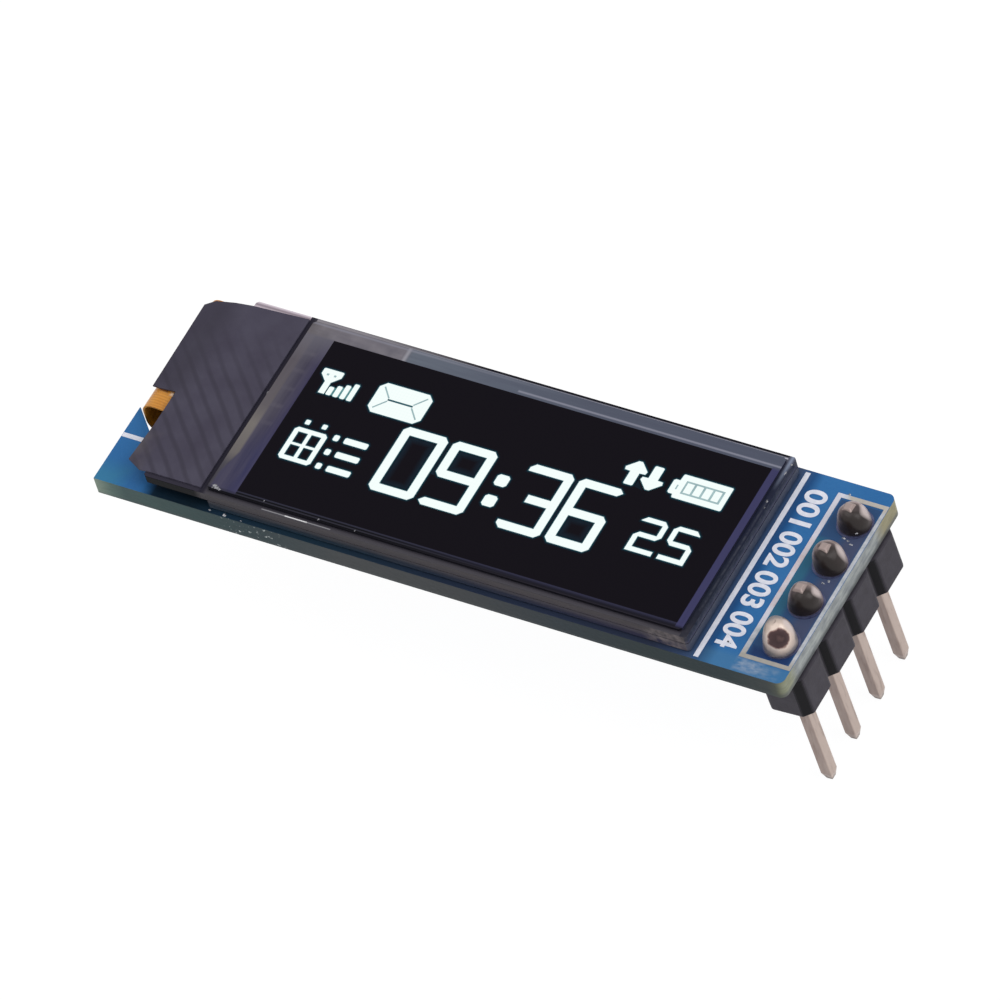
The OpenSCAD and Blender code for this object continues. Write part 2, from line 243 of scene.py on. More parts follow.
def use(tree, group, **sockets):
    """The output of a node group placed in this tree; each named socket takes a value or an output."""
    node = add(tree, "Group", node_tree=group)
    for key, value in sockets.items():
        socket = node.inputs[key.replace("_", " ")]
        if isinstance(value, bpy.types.NodeSocket):
            tree.links.new(value, socket)
        else:
            socket.default_value = value
    return node.outputs[0]


def blended(tree, share, first, second):
    """Two colours mixed: the first where share is 0 and the second where it is 1."""
    return add(tree, "Mix", {0: share, 6: first, 7: second}, data_type="RGBA").outputs[2]


def over(tree, base, code, *masks):
    """A hex colour laid over another colour as strongly as the product of the masks."""
    return blended(tree, times(tree, *masks), base, tone(code))


def ramp(tree, value, stops):
    """A colour that follows a number through (position, colour) stops."""
    low, high = stops[0][0], stops[-1][0]
    share = add(tree, "MapRange", {"Value": value, "From Min": low, "From Max": high})
    node = add(tree, "ValToRGB", {"Fac": share.outputs[0]})
    scale = node.color_ramp.elements
    while len(scale) < len(stops):
        scale.new(0.5)
    for element, (position, code) in zip(scale, stops):
        element.position = (position - low) / (high - low)
    for element, (position, code) in zip(scale, stops):
        element.color = tone(code)
    return node.outputs["Color"]


def split(tree, vector):
    """The X, Y and Z outputs of a vector."""
    return add(tree, "SeparateXYZ", {0: vector}).outputs


def face_normal(tree):
    """The X, Y and Z outputs of the direction that a face looks in."""
    return split(tree, add(tree, "NewGeometry").outputs["Normal"])


def vector_math(tree, operation, first, second=(0, 0, 0)):
    """The result of one sum on two vectors: a number for a dot product or a distance, else a vector."""
    node = add(tree, "VectorMath", {0: first, 1: second}, operation=operation)
    return node.outputs["Value" if operation in ("DOT_PRODUCT", "DISTANCE") else "Vector"]


def above(tree, value, limit):
    """1 where a value is greater than a limit, and 0 elsewhere."""
    return math_node(tree, "GREATER_THAN", value, limit)


def below(tree, value, limit):
    """1 where a value is less than a limit, and 0 elsewhere."""
    return math_node(tree, "LESS_THAN", value, limit)


def stretched(tree, place, x, y, z):
    """A place scaled along each axis, which draws out the grain of a texture where a scale is small."""
    return add(tree, "Mapping", {"Vector": place, "Scale": (x, y, z)}).outputs[0]


def rising(tree, value, low, high):
    """A number from 0 at one value to 1 at another."""
    return add(tree, "MapRange", {"Value": value, "From Min": low, "From Max": high}).outputs[0]


def relief(tree, surface, height, depth, strength=1.0):
    """A bump of this depth in millimetres on a surface."""
    bump = add(tree, "Bump", {"Strength": strength, "Distance": depth * MM, "Height": height})
    tree.links.new(bump.outputs["Normal"], surface.inputs["Normal"])


# Mottling: noise of one grain size, stretched to run from 0 to 1, for colour that varies
mottling, given, gives = new_group(
    "mottling", [("Place", "Vector"), ("Grain", "Float"), ("Contrast", "Float")], [("Value", "Float")]
)
grain_scale = math_node(mottling, "DIVIDE", 1.0, given["Grain"])
cloud = add(mottling, "TexNoise", {"Vector": given["Place"], "Scale": grain_scale, "Detail": 3.0})
centred = math_node(mottling, "SUBTRACT", cloud.outputs[0], 0.5)
spread = times(mottling, centred, given["Contrast"])
mottling.links.new(math_node(mottling, "ADD", spread, 0.5, clamp=True), gives["Value"])

# Patch: 1 inside a rectangle of the board's face, falling to 0 over a soft edge
patch, given, gives = new_group(
    "patch", [("Place", "Vector"), ("Middle", "Vector"), ("Half", "Vector"), ("Soft", "Float")],
    [("Mask", "Float")]
)
reach = vector_math(patch, "ABSOLUTE", vector_math(patch, "SUBTRACT", given["Place"], given["Middle"]))
beyond = split(patch, vector_math(patch, "SUBTRACT", reach, given["Half"]))
furthest = math_node(patch, "MAXIMUM", beyond["X"], beyond["Y"])
outside = math_node(patch, "DIVIDE", furthest, given["Soft"], clamp=True)
patch.links.new(math_node(patch, "SUBTRACT", 1.0, outside), gives["Mask"])

# Band: 1 within a half width of one value, falling to 0 over a soft edge
band, given, gives = new_group(
    "band", [("Value", "Float"), ("Middle", "Float"), ("Half", "Float"), ("Soft", "Float")],
    [("Mask", "Float")]
)
away = math_node(band, "ABSOLUTE", math_node(band, "SUBTRACT", given["Value"], given["Middle"]))
past = math_node(band, "SUBTRACT", away, given["Half"])
outside = math_node(band, "DIVIDE", past, given["Soft"], clamp=True)
band.links.new(math_node(band, "SUBTRACT", 1.0, outside), gives["Mask"])


def in_patch(tree, place, low_x, low_y, high_x, high_y, soft=0.02):
    """1 inside the rectangle between two corners in the board's millimetres."""
    middle = ((low_x + high_x) / 2, (low_y + high_y) / 2, 0)
    half = ((high_x - low_x) / 2, (high_y - low_y) / 2, 0)
    return use(tree, patch, Place=place, Middle=middle, Half=half, Soft=soft)


def in_band(tree, value, low, high, soft=0.02):
    """1 where a value lies between two others."""
    return use(tree, band, Value=value, Middle=(low + high) / 2, Half=(high - low) / 2, Soft=soft)


def marked(tree, place, colour, marks):
    """A colour with patches laid over it in turn, each a hex colour, the four sides of a rectangle in
    the board's millimetres, the width of its soft edge, and any further masks or strengths."""
    for code, sides, soft, *masks in marks:
        colour = over(tree, colour, code, in_patch(tree, place, *sides, soft), *masks)
    return colour


# A face counts as level where the upright part of its direction is more than this
LEVEL = 0.5

laminate, tree, surface, place = new_material(
    "blue_mask_on_laminate", Roughness=0.38, Specular_IOR_Level=0.12
)
along = split(tree, place)
fine = use(tree, mottling, Place=place, Grain=0.12, Contrast=1.2)
sparse = rising(tree, use(tree, mottling, Place=place, Grain=0.22, Contrast=3.0), 0.82, 1.0)
clouds = use(tree, mottling, Place=place, Grain=4.0, Contrast=2.2)
mask_blue = blended(tree, clouds, tone("27639e"), tone("316ea8"))
back_blue = over(tree, mask_blue, "1b4a80", fine, 0.4)
mask_blue = over(tree, mask_blue, "4a86bb", fine, 0.2)
smear = use(tree, mottling, Place=stretched(tree, place, 0.5, 1, 1), Grain=0.25, Contrast=3.0)
mask_blue = marked(tree, place, mask_blue, [
    ("3a7f9c", (-1, -1, 0.9, 0.5), 1.0, 0.6), ("123f73", (33.4, -1, 33.7, 13), 0.5, 0.75),
    ("2b4469", (35.6, 1.2, 37.7, 10.9), 0.15, 0.85), ("514f63", (37.0, 2.4, 37.6, 9.8), 0.5, 0.6),
    ("2c6c82", (35.5, 2.6, 35.9, 8.4), 0.3, 0.6), ("10245a", (35.8, 1.1, 37.6, 1.5), 0.3, 0.6),
    ("4f7a93", (33.6, -1, 38.0, 0.7), 0.4, 0.35), ("a3adbd", (35.5, 0.35, 36.4, 0.6), 0.35, smear, 0.75),
    ("93a2b2", (36.4, 0.3, 37.3, 0.5), 0.4, smear, 0.4),
])
# Painted shade at the display panel's foot: the mask's top round the panel is darkened, darkest by the glass
# ledge.
strip = ramp(tree, along["X"], [
    (2.2, "1f4468"), (3.0, "12293e"), (3.5, "0f2333"), (5.5, "13232f"), (7, "1b3144"), (12, "1f3444"),
    (20, "293449"), (25, "2e374d"), (31, "31394e"), (33.1, "3a4e70")
])
mask_blue = blended(tree, in_patch(tree, place, 3.3, -0.6, 33.0, 12.6, 0.7), mask_blue, strip)

# Painted shade: the milled front edge is painted much darker than the end.
shaded_front_edge = ramp(tree, along["X"], [
    (0, "8a9a8c"), (0.8, "5b736c"), (1.6, "3d5655"), (4.5, "304a4a"), (9, "223940"), (14, "3e4144"),
    (20, "383b3f"), (26, "202d36"), (31, "13282c"), (35, "152a30"), (37.2, "32393a"), (38, "565a48")
])
shaded_front_edge = over(tree, shaded_front_edge, "4b5154", in_band(tree, along["Z"], -1.1, -1.0, 0.12), 0.3)
# Painted glints: white flecks on the front edge for tiny glossy drops catching the light.
shaded_front_edge = over(tree, shaded_front_edge, "dfe6e6", in_patch(tree, place, 7.5, -1, 10.3, 1, 0.4), sparse, 0.7)
cut_fibres = use(tree, mottling, Place=stretched(tree, place, 1, 1, 2), Grain=0.7, Contrast=3.0)
end_edge = blended(tree, cut_fibres, tone("868b8f"), tone("adb2b0"))
end_edge = marked(tree, place, end_edge, [
    ("9a8f62", (36, 10.4, 40, 13), 0.8, 0.75), ("8a8c5e", (36, -1, 40, 0.8), 0.6, 0.6)
])
end_edge = over(tree, end_edge, "5c5f62", in_band(tree, along["Z"], -1.1, -0.95, 0.2), 0.75)
normal = face_normal(tree)
plies = use(tree, mottling, Place=stretched(tree, place, 1, 1, 9), Grain=1.1, Contrast=2.4)
milled = blended(tree, math_node(tree, "MULTIPLY", normal["X"], 1.0, clamp=True), shaded_front_edge, end_edge)
milled = over(tree, milled, "202a2a", plies, 0.25)
painted = blended(tree, above(tree, normal["Z"], LEVEL), milled, mask_blue)
painted = blended(tree, below(tree, normal["Z"], -LEVEL), painted, back_blue)
coat(tree, surface, painted)
relief(tree, surface, use(tree, mottling, Place=place, Grain=0.25, Contrast=1.5), 0.012, 0.5)
dress("board", laminate)

# ---- Copper under the mask ----
# Etched copper tracks on the board's back, from the ribbon's row to the chips and the header,
# and the low rings of tented vias; the blue mask is drawn thin over them and looks paler.

TRACK_HEIGHT = 0.03
TRACK_WIDTH = 0.22
COPPER_SUNK = 0.01
VIA_BORE = 0.1
VIA_POINTS = 24


def placed(points):
    """Points in the board's millimetres as metres in the part's frame."""
    return np.asarray(points, float) * MM + np.array(corner)


def mottled(name, grain, contrast, first, second, dents=None, **sockets):
    """A material whose colour drifts between two hex colours in clouds of one grain, in millimetres.
    Dents are the grain and contrast of a second mottling and the depth and strength of its bump."""
    material, tree, surface, place = new_material(name, **sockets)
    clouds = use(tree, mottling, Place=place, Grain=grain, Contrast=contrast)
    coat(tree, surface, blended(tree, clouds, tone(first), tone(second)))
    if dents:
        dent_grain, dent_contrast, depth, strength = dents
        uneven = use(tree, mottling, Place=place, Grain=dent_grain, Contrast=dent_contrast)
        relief(tree, surface, uneven, depth, strength)
    return material


def ridden(name, mesh, material):
    """A mesh as a piece of one material, riding on the board's body."""
    mesh.materials.clear()
    mesh.materials.append(material)
    piece = bpy.data.objects.new(name, mesh)
    bpy.context.scene.collection.objects.link(piece)
    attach(piece, "root")
    return piece


def new_piece(name, points, faces, material):
    """A piece from points in metres and a list of faces."""
    mesh = bpy.data.meshes.new(name)
    mesh.from_pydata(points.tolist(), [], faces)
    return ridden(name, mesh, material)


def grid_faces(rows, columns, ring=False):
    """The four-sided faces between the points of a grid; ring joins the last column to the first."""
    across = columns if ring else columns - 1
    row, column = np.meshgrid(np.arange(rows - 1), np.arange(across), indexing="ij")
    here = row * columns + column
    beside = row * columns + (column + 1) % columns
    return np.stack([here, beside, beside + columns, here + columns], -1).reshape(-1, 4)


def track(route, width, low, high):
    """A flat bar with a low arched top along a route of points: at each point the bar is as wide as
    given across the bisector of its two legs, and its section runs round both flanks and the crown."""
    route = np.asarray(route, float)
    legs = np.diff(route, axis=0)
    legs /= np.linalg.norm(legs, axis=1, keepdims=True)
    before = np.vstack([legs[:1], legs])
    after = np.vstack([legs, legs[-1:]])
    across = np.stack([-(before + after)[:, 1], (before + after)[:, 0]], 1)
    across /= np.linalg.norm(across, axis=1, keepdims=True)
    stretch = 1 / np.maximum(np.abs(np.sum(across * np.stack([-after[:, 1], after[:, 0]], 1), 1)), 0.5)
    side = np.array([-0.5, -0.44, 0.44, 0.5])
    rise = np.array([low, high, high, low])
    flat = route[:, None, :] + (across * stretch[:, None])[:, None, :] * (width * side)[None, :, None]
    points = np.concatenate([flat, np.broadcast_to(rise[None, :, None], (*flat.shape[:2], 1))], 2)
    faces = grid_faces(len(route), 4, ring=True)
    ends = np.array([[3, 2, 1, 0], np.arange(4) + 4 * (len(route) - 1)])
    return points.reshape(-1, 3), np.vstack([faces, ends])


def gathered(parts):
    """Several (points, faces) as one, with the faces renumbered."""
    starts = np.cumsum([0] + [len(points) for points, faces in parts[:-1]])
    renumbered = [faces + start for (points, faces), start in zip(parts, starts)]
    return np.vstack([points for points, faces in parts]), np.vstack(renumbered)


def facing_out(piece):
    """Turns a closed piece's faces outwards."""
    shape = bmesh.new()
    shape.from_mesh(piece.data)
    bmesh.ops.recalc_face_normals(shape, faces=shape.faces)
    shape.to_mesh(piece.data)
    shape.free()
    return piece


def spun(x, y, radius, height, about, stretch=(1, 1)):
    """Rings of points round upright axes: at each angle, out from the axis by the radius times the
    cosine and the sine, each with its stretch, and up by the height."""
    east, north = stretch[0] * radius * np.cos(about), stretch[1] * radius * np.sin(about)
    return np.stack(np.broadcast_arrays(x + east, y + north, height), -1)


back = (board_low.z - board_high.z) / MM
track_mask = mottled(
    "mask_over_copper", 1.5, 2.0, "3a7ab4", "4a8cc2", (0.2, 1.5, 0.01, 0.5),
    Roughness=0.36, Specular_IOR_Level=0.35
)

back_routes = [
    [(6.6, 5.1), (8.0, 5.1), (8.9, 4.2)], [(6.6, 5.6), (7.6, 5.6), (8.5, 6.5), (9.0, 6.7)],
    [(6.6, 8.4), (8.2, 8.4), (8.6, 8.2)], [(6.6, 10.9), (7.6, 10.9), (8.6, 11.0)],
    [(10.0, 1.8), (10.9, 1.8)], [(12.2, 1.8), (14.5, 1.8), (16.4, 3.7), (21.3, 3.7)],
    [(12.2, 4.0), (15.0, 4.0), (17.0, 6.0), (21.0, 6.0), (21.6, 6.6)],
    [(12.2, 7.8), (19.4, 7.8), (20.2, 8.6), (21.4, 8.6)], [(12.2, 10.2), (33.2, 10.2), (35.6, 9.6)],
    [(23.5, 3.7), (25.2, 3.7)], [(29.2, 5.0), (30.0, 3.4)], [(31.4, 4.6), (34.0, 4.6), (35.7, 4.7)],
    [(23.4, 8.3), (25.6, 8.3), (29.0, 9.2), (33.4, 9.2)], [(31.4, 7.3), (35.6, 7.3)],
    [(23.4, 2.6), (32.8, 2.6), (35.7, 2.3)],
]
points, faces = gathered([
    track(route, TRACK_WIDTH, back - TRACK_HEIGHT, back + COPPER_SUNK) for route in back_routes
])
facing_out(new_piece("back_tracks", placed(points), faces.tolist(), track_mask))

via_places = np.array([
    (14.6, 2.4), (16.2, 9.0), (18.4, 2.2), (19.8, 9.6), (24.6, 10.9), (13.4, 6.0), (17.6, 11.1),
    (28.6, 1.3), (33.2, 6.2), (20.6, 1.2), (31.8, 11.1), (14.4, 9.1), (25.4, 1.4),
])
section = np.array([
    (VIA_BORE, 0.0), (0.26, 0.0), (0.3, TRACK_HEIGHT * 0.6), (0.14, TRACK_HEIGHT), (VIA_BORE, 0.0)
])


def via(spot):
    """A tented via on the board's back: a low ring round a hole, its section turned round the hole's axis."""
    turns = np.linspace(0, 2 * math.pi, VIA_POINTS, endpoint=False)
    points = spun(spot[0], spot[1], section[:, 0, None], back - section[:, 1, None], turns)
    return points.reshape(-1, 3), grid_faces(len(section), VIA_POINTS, ring=True)


points, faces = gathered([via(spot) for spot in via_places])
facing_out(new_piece("back_vias", placed(points), faces.tolist(), track_mask))

# ---- Screen print ----
# White ink printed on the mask: a line beside the display, a box round the header, a line on
# the ear, and plain numbers at the pins. Thin raised ink.

INK_HEIGHT = 0.02
INK_SUNK = 0.005
NUMBER_GROWTH = 0.026
BACK_LINE = 0.15
NUMBER_HEIGHT = 1.18
NUMBER_LENGTH = 2.2
NUMBER_MIDDLE = 34.27

ink = mottled(
    "white_ink", 0.35, 2.6, "dadeeb", "ececf6", (0.12, 2.0, 0.006, 0.6),
    Roughness=0.55, Specular_IOR_Level=0.25
)

stained_ink, tree, surface, place = new_material("flux_stained_ink", Roughness=0.5, Specular_IOR_Level=0.15)
along = split(tree, place)
clouds = use(tree, mottling, Place=place, Grain=0.35, Contrast=2.6)
stained = blended(tree, clouds, tone("acb2b9"), tone("cdcfd6"))
stained = over(tree, stained, "a0998c", rising(tree, along["Y"], 1.6, 1.1), 0.75)
stained = marked(tree, place, stained, [
    ("d8d6e2", (35.2, 3.0, 35.55, 11.3), 0.3, 0.8), ("d0bcbc", (35.2, 4.2, 35.55, 8.2), 0.3, clouds, 0.9),
    ("b8b0a4", (36.0, 10.9, 38.1, 11.4), 0.2, 0.8),
])
coat(tree, surface, stained)
relief(tree, surface, clouds, 0.006, 0.6)


def rectangle(low_x, low_y, high_x, high_y, cut=0.0):
    """The outline of a rectangle whose corners may be cut at 45 degrees."""
    if not cut:
        return np.array([(low_x, low_y), (high_x, low_y), (high_x, high_y), (low_x, high_y)])
    return np.array([
        (low_x + cut, low_y), (high_x - cut, low_y), (high_x, low_y + cut), (high_x, high_y - cut),
        (high_x - cut, high_y), (low_x + cut, high_y), (low_x, high_y - cut), (low_x, low_y + cut),
    ])


def flat_shape(name, outlines, low, high, material):
    """A slab from low to high with these outlines, filled except where one lies inside another."""
    curve = bpy.data.curves.new(name, "CURVE")
    curve.dimensions = "2D"
    curve.fill_mode = "BOTH"
    curve.extrude = (high - low) / 2
    for outline in outlines:
        spline = curve.splines.new("POLY")
        spline.points.add(len(outline) - 1)
        row = np.column_stack([outline, np.zeros(len(outline)), np.ones(len(outline))])
        spline.points.foreach_set("co", row.ravel())
        spline.use_cyclic_u = True
    return laid(name, curve, Matrix.Translation((0, 0, (low + high) / 2)), material)


def laid(name, curve, place, material):
    """A flat curve or text made a mesh, placed in the board's millimetres and riding on the board."""
    drawing = bpy.data.objects.new(name + "_drawing", curve)
    bpy.context.scene.collection.objects.link(drawing)
    bpy.context.view_layer.update()
    mesh = bpy.data.meshes.new_from_object(drawing.evaluated_get(bpy.context.evaluated_depsgraph_get()))
    bpy.data.objects.remove(drawing)
    mesh.transform(Matrix.Translation(corner) @ Matrix.Scale(MM, 4) @ place)
    return ridden(name, mesh, material)


for name, outlines, material in (
    ("display_line", [rectangle(33.17, 0.15, 33.43, 11.85)], ink),
    ("header_box", [rectangle(35.24, 0.87, 37.98, 11.25), rectangle(35.5, 1.1, 37.8, 11.02)], stained_ink),
    ("ear_line", [rectangle(0.02, 2.76, 2.2, 3.01)], ink),
):
    flat_shape(name, outlines, -INK_SUNK, INK_HEIGHT, material)

pin_places = [(sum(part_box(f"plated_hole_{i}"), Vector()) / 2 - corner) / MM for i in range(1, 5)]
for number, spot in zip(("004", "003", "002", "001"), pin_places):
    lettering = bpy.data.curves.new("pin_number_" + number, "FONT")
    lettering.body = number
    lettering.align_x = "CENTER"
    lettering.align_y = "CENTER"
    lettering.size = 1.0
    lettering.offset = NUMBER_GROWTH
    lettering.extrude = INK_HEIGHT / 2
    drawing = bpy.data.objects.new("measure", lettering)
    bpy.context.scene.collection.objects.link(drawing)
    bpy.context.view_layer.update()
    wide, tall = drawing.dimensions.x, drawing.dimensions.y
    bpy.data.objects.remove(drawing)
    stretch = Matrix.Diagonal((NUMBER_LENGTH / wide, NUMBER_HEIGHT / tall, 1, 1))
    spin = Matrix.Rotation(-math.pi / 2, 4, "Z")
    spot_matrix = Matrix.Translation((NUMBER_MIDDLE, spot.y, INK_HEIGHT / 2)) @ spin @ stretch
    laid("pin_number_" + number, lettering, spot_matrix, ink)

back_boxes = [(8.6, 0.7, 12.4, 11.5), (24.9, 3.4, 29.4, 8.7), (35.3, 0.9, 37.9, 11.2)]
frames = [
    rectangle(low_x + inset, low_y + inset, high_x - inset, high_y - inset)
    for low_x, low_y, high_x, high_y in back_boxes for inset in (0, BACK_LINE)
]
flat_shape("back_outlines", frames, back - INK_HEIGHT, back + INK_SUNK, ink)

# ---- Chip parts on the back ----
# Ceramic capacitors and film resistors with tinned ends, soldered to the board's back.
# The body of a capacitor is fired tan ceramic; a resistor is white alumina under black glass.

TINNED_LENGTH = 0.32

tin, tree, surface, place = new_material("tin_solder", Metallic=1.0, Roughness=0.3)
clouds = use(tree, mottling, Place=place, Grain=0.25, Contrast=2.4)
coat(tree, surface, blended(tree, clouds, tone("b6b4b0"), tone("dad9d6")))
dull = add(tree, "MapRange", {"Value": clouds, "To Min": 0.22, "To Max": 0.42}).outputs[0]
tree.links.new(dull, surface.inputs["Roughness"])
relief(tree, surface, clouds, 0.02, 0.5)


def board_box(node):
    """The low and high corners of a node's box in the board's millimetres."""
    return [(v - corner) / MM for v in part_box(node)]


def chip_material(name, low_colour, high_colour, node):
    """Ceramic between tinned ends, which lie past its body along the longer side of the node's box."""
    low, high = board_box(node)
    size = high - low
    lengthwise = "X" if size.x > size.y else "Y"
    half = max(size.x, size.y) / 2 - TINNED_LENGTH
    material, tree, surface, place = new_material(name, Roughness=0.35, Specular_IOR_Level=0.4)
    from_middle = vector_math(tree, "SUBTRACT", place, (low + high) / 2)
    ends = above(tree, math_node(tree, "ABSOLUTE", split(tree, from_middle)[lengthwise]), half)
    clouds = use(tree, mottling, Place=place, Grain=0.3, Contrast=2.0)
    ceramic = blended(tree, clouds, tone(low_colour), tone(high_colour))
    tinned = blended(tree, clouds, tone("b0aeaa"), tone("d6d4d0"))
    coat(tree, surface, blended(tree, ends, ceramic, tinned))
    tree.links.new(ends, surface.inputs["Metallic"])
    relief(tree, surface, clouds, 0.01, 0.5)
    return material


for i in range(1, 8):
    dress(f"capacitor_{i}", chip_material(f"fired_ceramic_{i}", "a98a63", "bb9c74", f"capacitor_{i}"))
for i in range(1, 6):
    dress(f"resistor_{i}", chip_material(f"black_glaze_{i}", "141416", "222226", f"resistor_{i}"))
for joints in ("chip_solder", "regulator_solder", "ribbon_solder"):
    dress(joints, tin)

# ---- Voltage regulator ----
# A small three-lead regulator: black moulded epoxy with tapered sides round tinned
# copper leads that bend down to the board.

epoxy = mottled(
    "moulded_epoxy", 0.08, 2.5, "1c1c1e", "2a2a2d", (0.08, 2.5, 0.01, 0.7),
    Roughness=0.55, Specular_IOR_Level=0.4
)
dress("regulator_body", epoxy)
for i in range(1, 4):
    dress(f"regulator_lead_{i}", tin)

# ---- Display panel ----
# Two sheets of glass sealed round their rim over the pixel layer. The rear sheet is taped to
# the board, and a dark polarizer film is laid on the front one, short of its edges.

window = (7.98, 0.87, 32.2, 10.66)
SAME_PLACE = 0.0005

foam = mottled("black_foam_tape", 0.15, 2.5, "131317", "22222a", Roughness=0.8, Specular_IOR_Level=0.2)
dress("mounting_tape", foam)

polarizer_film, tree, surface, place = new_material("polarizer_film", Roughness=0.3, Specular_IOR_Level=0.03)
along = split(tree, place)
lengthways = use(tree, mottling, Place=stretched(tree, place, 0.12, 1.6, 1), Grain=0.3, Contrast=2.4)
crossways = use(tree, mottling, Place=stretched(tree, place, 1.6, 0.12, 1), Grain=0.3, Contrast=2.4)
smudges = use(tree, mottling, Place=place, Grain=0.9, Contrast=3.0)

back_margin = ramp(tree, along["X"], [
    (6.4, "625d5f"), (8, "6b676f"), (11.7, "6e6b73"), (12.1, "686f7b"), (17, "5f6573"), (22, "565b6a"),
    (32.6, "545969")
])
back_margin = over(tree, back_margin, "8d888e", in_patch(tree, place, 6, 10.7, 11.6, 11.6, 0.4), smudges, 0.5)
back_margin = over(tree, back_margin, "48495a", lengthways, 0.25)
back_margin = over(tree, back_margin, "8d8e9d", in_patch(tree, place, 18.2, 10.84, 33, 10.88, 0.06), 0.8)
back_margin = over(tree, back_margin, "aeacb5", in_band(tree, along["X"], 11.82, 11.88, 0.12), 0.5)
back_edge = in_band(tree, along["Y"], 11.34, 11.4, 0.06)
back_margin = over(tree, back_margin, "8e8e9b", back_edge, rising(tree, along["X"], 20, 12), 0.5)

lined_margin = ramp(tree, along["Y"], [
    (0.53, "1b1a21"), (0.56, "09090d"), (0.6, "09090d"), (0.63, "2b2a33"), (0.68, "31303a"), (0.71, "0e0e13"),
    (0.76, "0d0d12"), (0.79, "2d2d39"), (0.9, "343345")
])
smooth_margin = ramp(tree, along["Y"], [
    (0.53, "2b2831"), (0.62, "1b1a22"), (0.7, "1f1e2b"), (0.8, "2e2e41"), (0.9, "333248")
])
front_margin = blended(tree, rising(tree, along["X"], 15, 25), lined_margin, smooth_margin)

rim_column = ramp(tree, along["Y"], [
    (0.9, "3d3b43"), (2.2, "4b4950"), (2.9, "6d6866"), (4.8, "78736f"), (6, "625d60"), (9, "5b565d"),
    (11, "666166")
])
inner_column = ramp(tree, along["X"], [(6.95, "434157"), (7.4, "3a3953"), (7.7, "363656"), (8.0, "393859")])
upper_column = ramp(tree, along["X"], [(6.95, "524f5b"), (7.4, "444151"), (7.7, "403d54"), (8.0, "3d3a55")])
inner_column = blended(tree, rising(tree, along["Y"], 3.2, 5.6), inner_column, upper_column)
slope = math_node(tree, "ADD", along["X"], times(tree, rising(tree, along["Y"], 3.0, 1.6), 0.35))
left_margin = blended(tree, rising(tree, slope, 6.84, 6.96), rim_column, inner_column)
tick_wave = math_node(tree, "FRACT", math_node(tree, "DIVIDE", along["Y"], 1.13))
tick_field = in_patch(tree, place, 6.95, 4.3, 7.45, 10.4, 0.2)
ticks = times(tree, in_band(tree, tick_wave, 0.42, 0.5, 0.12), tick_field)
left_margin = over(tree, left_margin, "6a6872", rising(tree, along["Y"], 9.0, 10.8), 0.85)
left_margin = over(tree, left_margin, "66626d", ticks, smudges, 0.3)
left_margin = over(tree, left_margin, "6a6570", crossways, 0.2)
right_margin = blended(tree, times(tree, crossways, 0.3), tone("403f62"), tone("35365a"))

paint = blended(tree, above(tree, along["Y"], 5.0), front_margin, back_margin)
in_middle = in_patch(tree, place, 6.0, 0.78, 33.0, 10.6, 0.2)
paint = blended(tree, times(tree, below(tree, along["X"], window[0]), in_middle), paint, left_margin)
paint = blended(tree, times(tree, above(tree, along["X"], window[2]), in_middle), paint, right_margin)
paint = over(tree, paint, "110e15", in_patch(tree, place, *window, 0.015))
film_side = below(tree, face_normal(tree)["Z"], LEVEL)
paint = over(tree, paint, "1c1b22", film_side)
paint = over(tree, paint, "292a3c", film_side, above(tree, along["X"], 32.56))
coat(tree, surface, paint)
dress("polarizer", polarizer_film)

display_glass, tree, surface, place = new_material("display_glass", Roughness=0.2, Specular_IOR_Level=0.04)
along = split(tree, place)
normal = face_normal(tree)
bands = use(tree, mottling, Place=stretched(tree, place, 0.25, 0.25, 4), Grain=0.5, Contrast=2.2)
streaks = use(tree, mottling, Place=stretched(tree, place, 0.3, 0.3, 0.3), Grain=0.06, Contrast=2.4)
flecks = use(tree, mottling, Place=place, Grain=0.35, Contrast=3.0)
# Painted shade: low down, towards the board, the front side goes dark navy for the shade at the panel's foot.
front_side = ramp(tree, along["Z"], [
    (0.1, "22394b"), (0.35, "1f2c39"), (0.5, "292e3a"), (0.6, "3a373e"), (0.75, "3c3a40"), (0.95, "434045"),
    (1.12, "46444a")
])
warm_side = ramp(tree, along["Z"], [
    (0.1, "303450"), (0.35, "37364a"), (0.6, "3e3a46"), (0.8, "433f44"), (1.0, "423e43"), (1.12, "3c3a42")
])
front_side = blended(tree, rising(tree, along["X"], 14, 30), front_side, warm_side)
front_side = over(tree, front_side, "57504f", bands, 0.3)
# Painted shadow: the ledge's front side under the cover tape is painted nearly black.
front_side = marked(tree, place, front_side, [
    ("020308", (0, -1, 5.8, 0.6), 0.4, rising(tree, along["Z"], 1.18, 1.1)),
    ("776f70", (31.2, -1, 32.5, 0.6), 0.8, flecks, 0.8),
])
end_side = ramp(tree, along["Z"], [
    (0.1, "33425a"), (0.3, "474e60"), (0.5, "4a5061"), (0.7, "40435a"), (0.9, "2c3343"), (1.12, "282d3c")
])
end_side = over(tree, end_side, "5f606b", flecks, 0.3)
sides = blended(tree, math_node(tree, "MULTIPLY", normal["X"], 1.0, clamp=True), front_side, end_side)

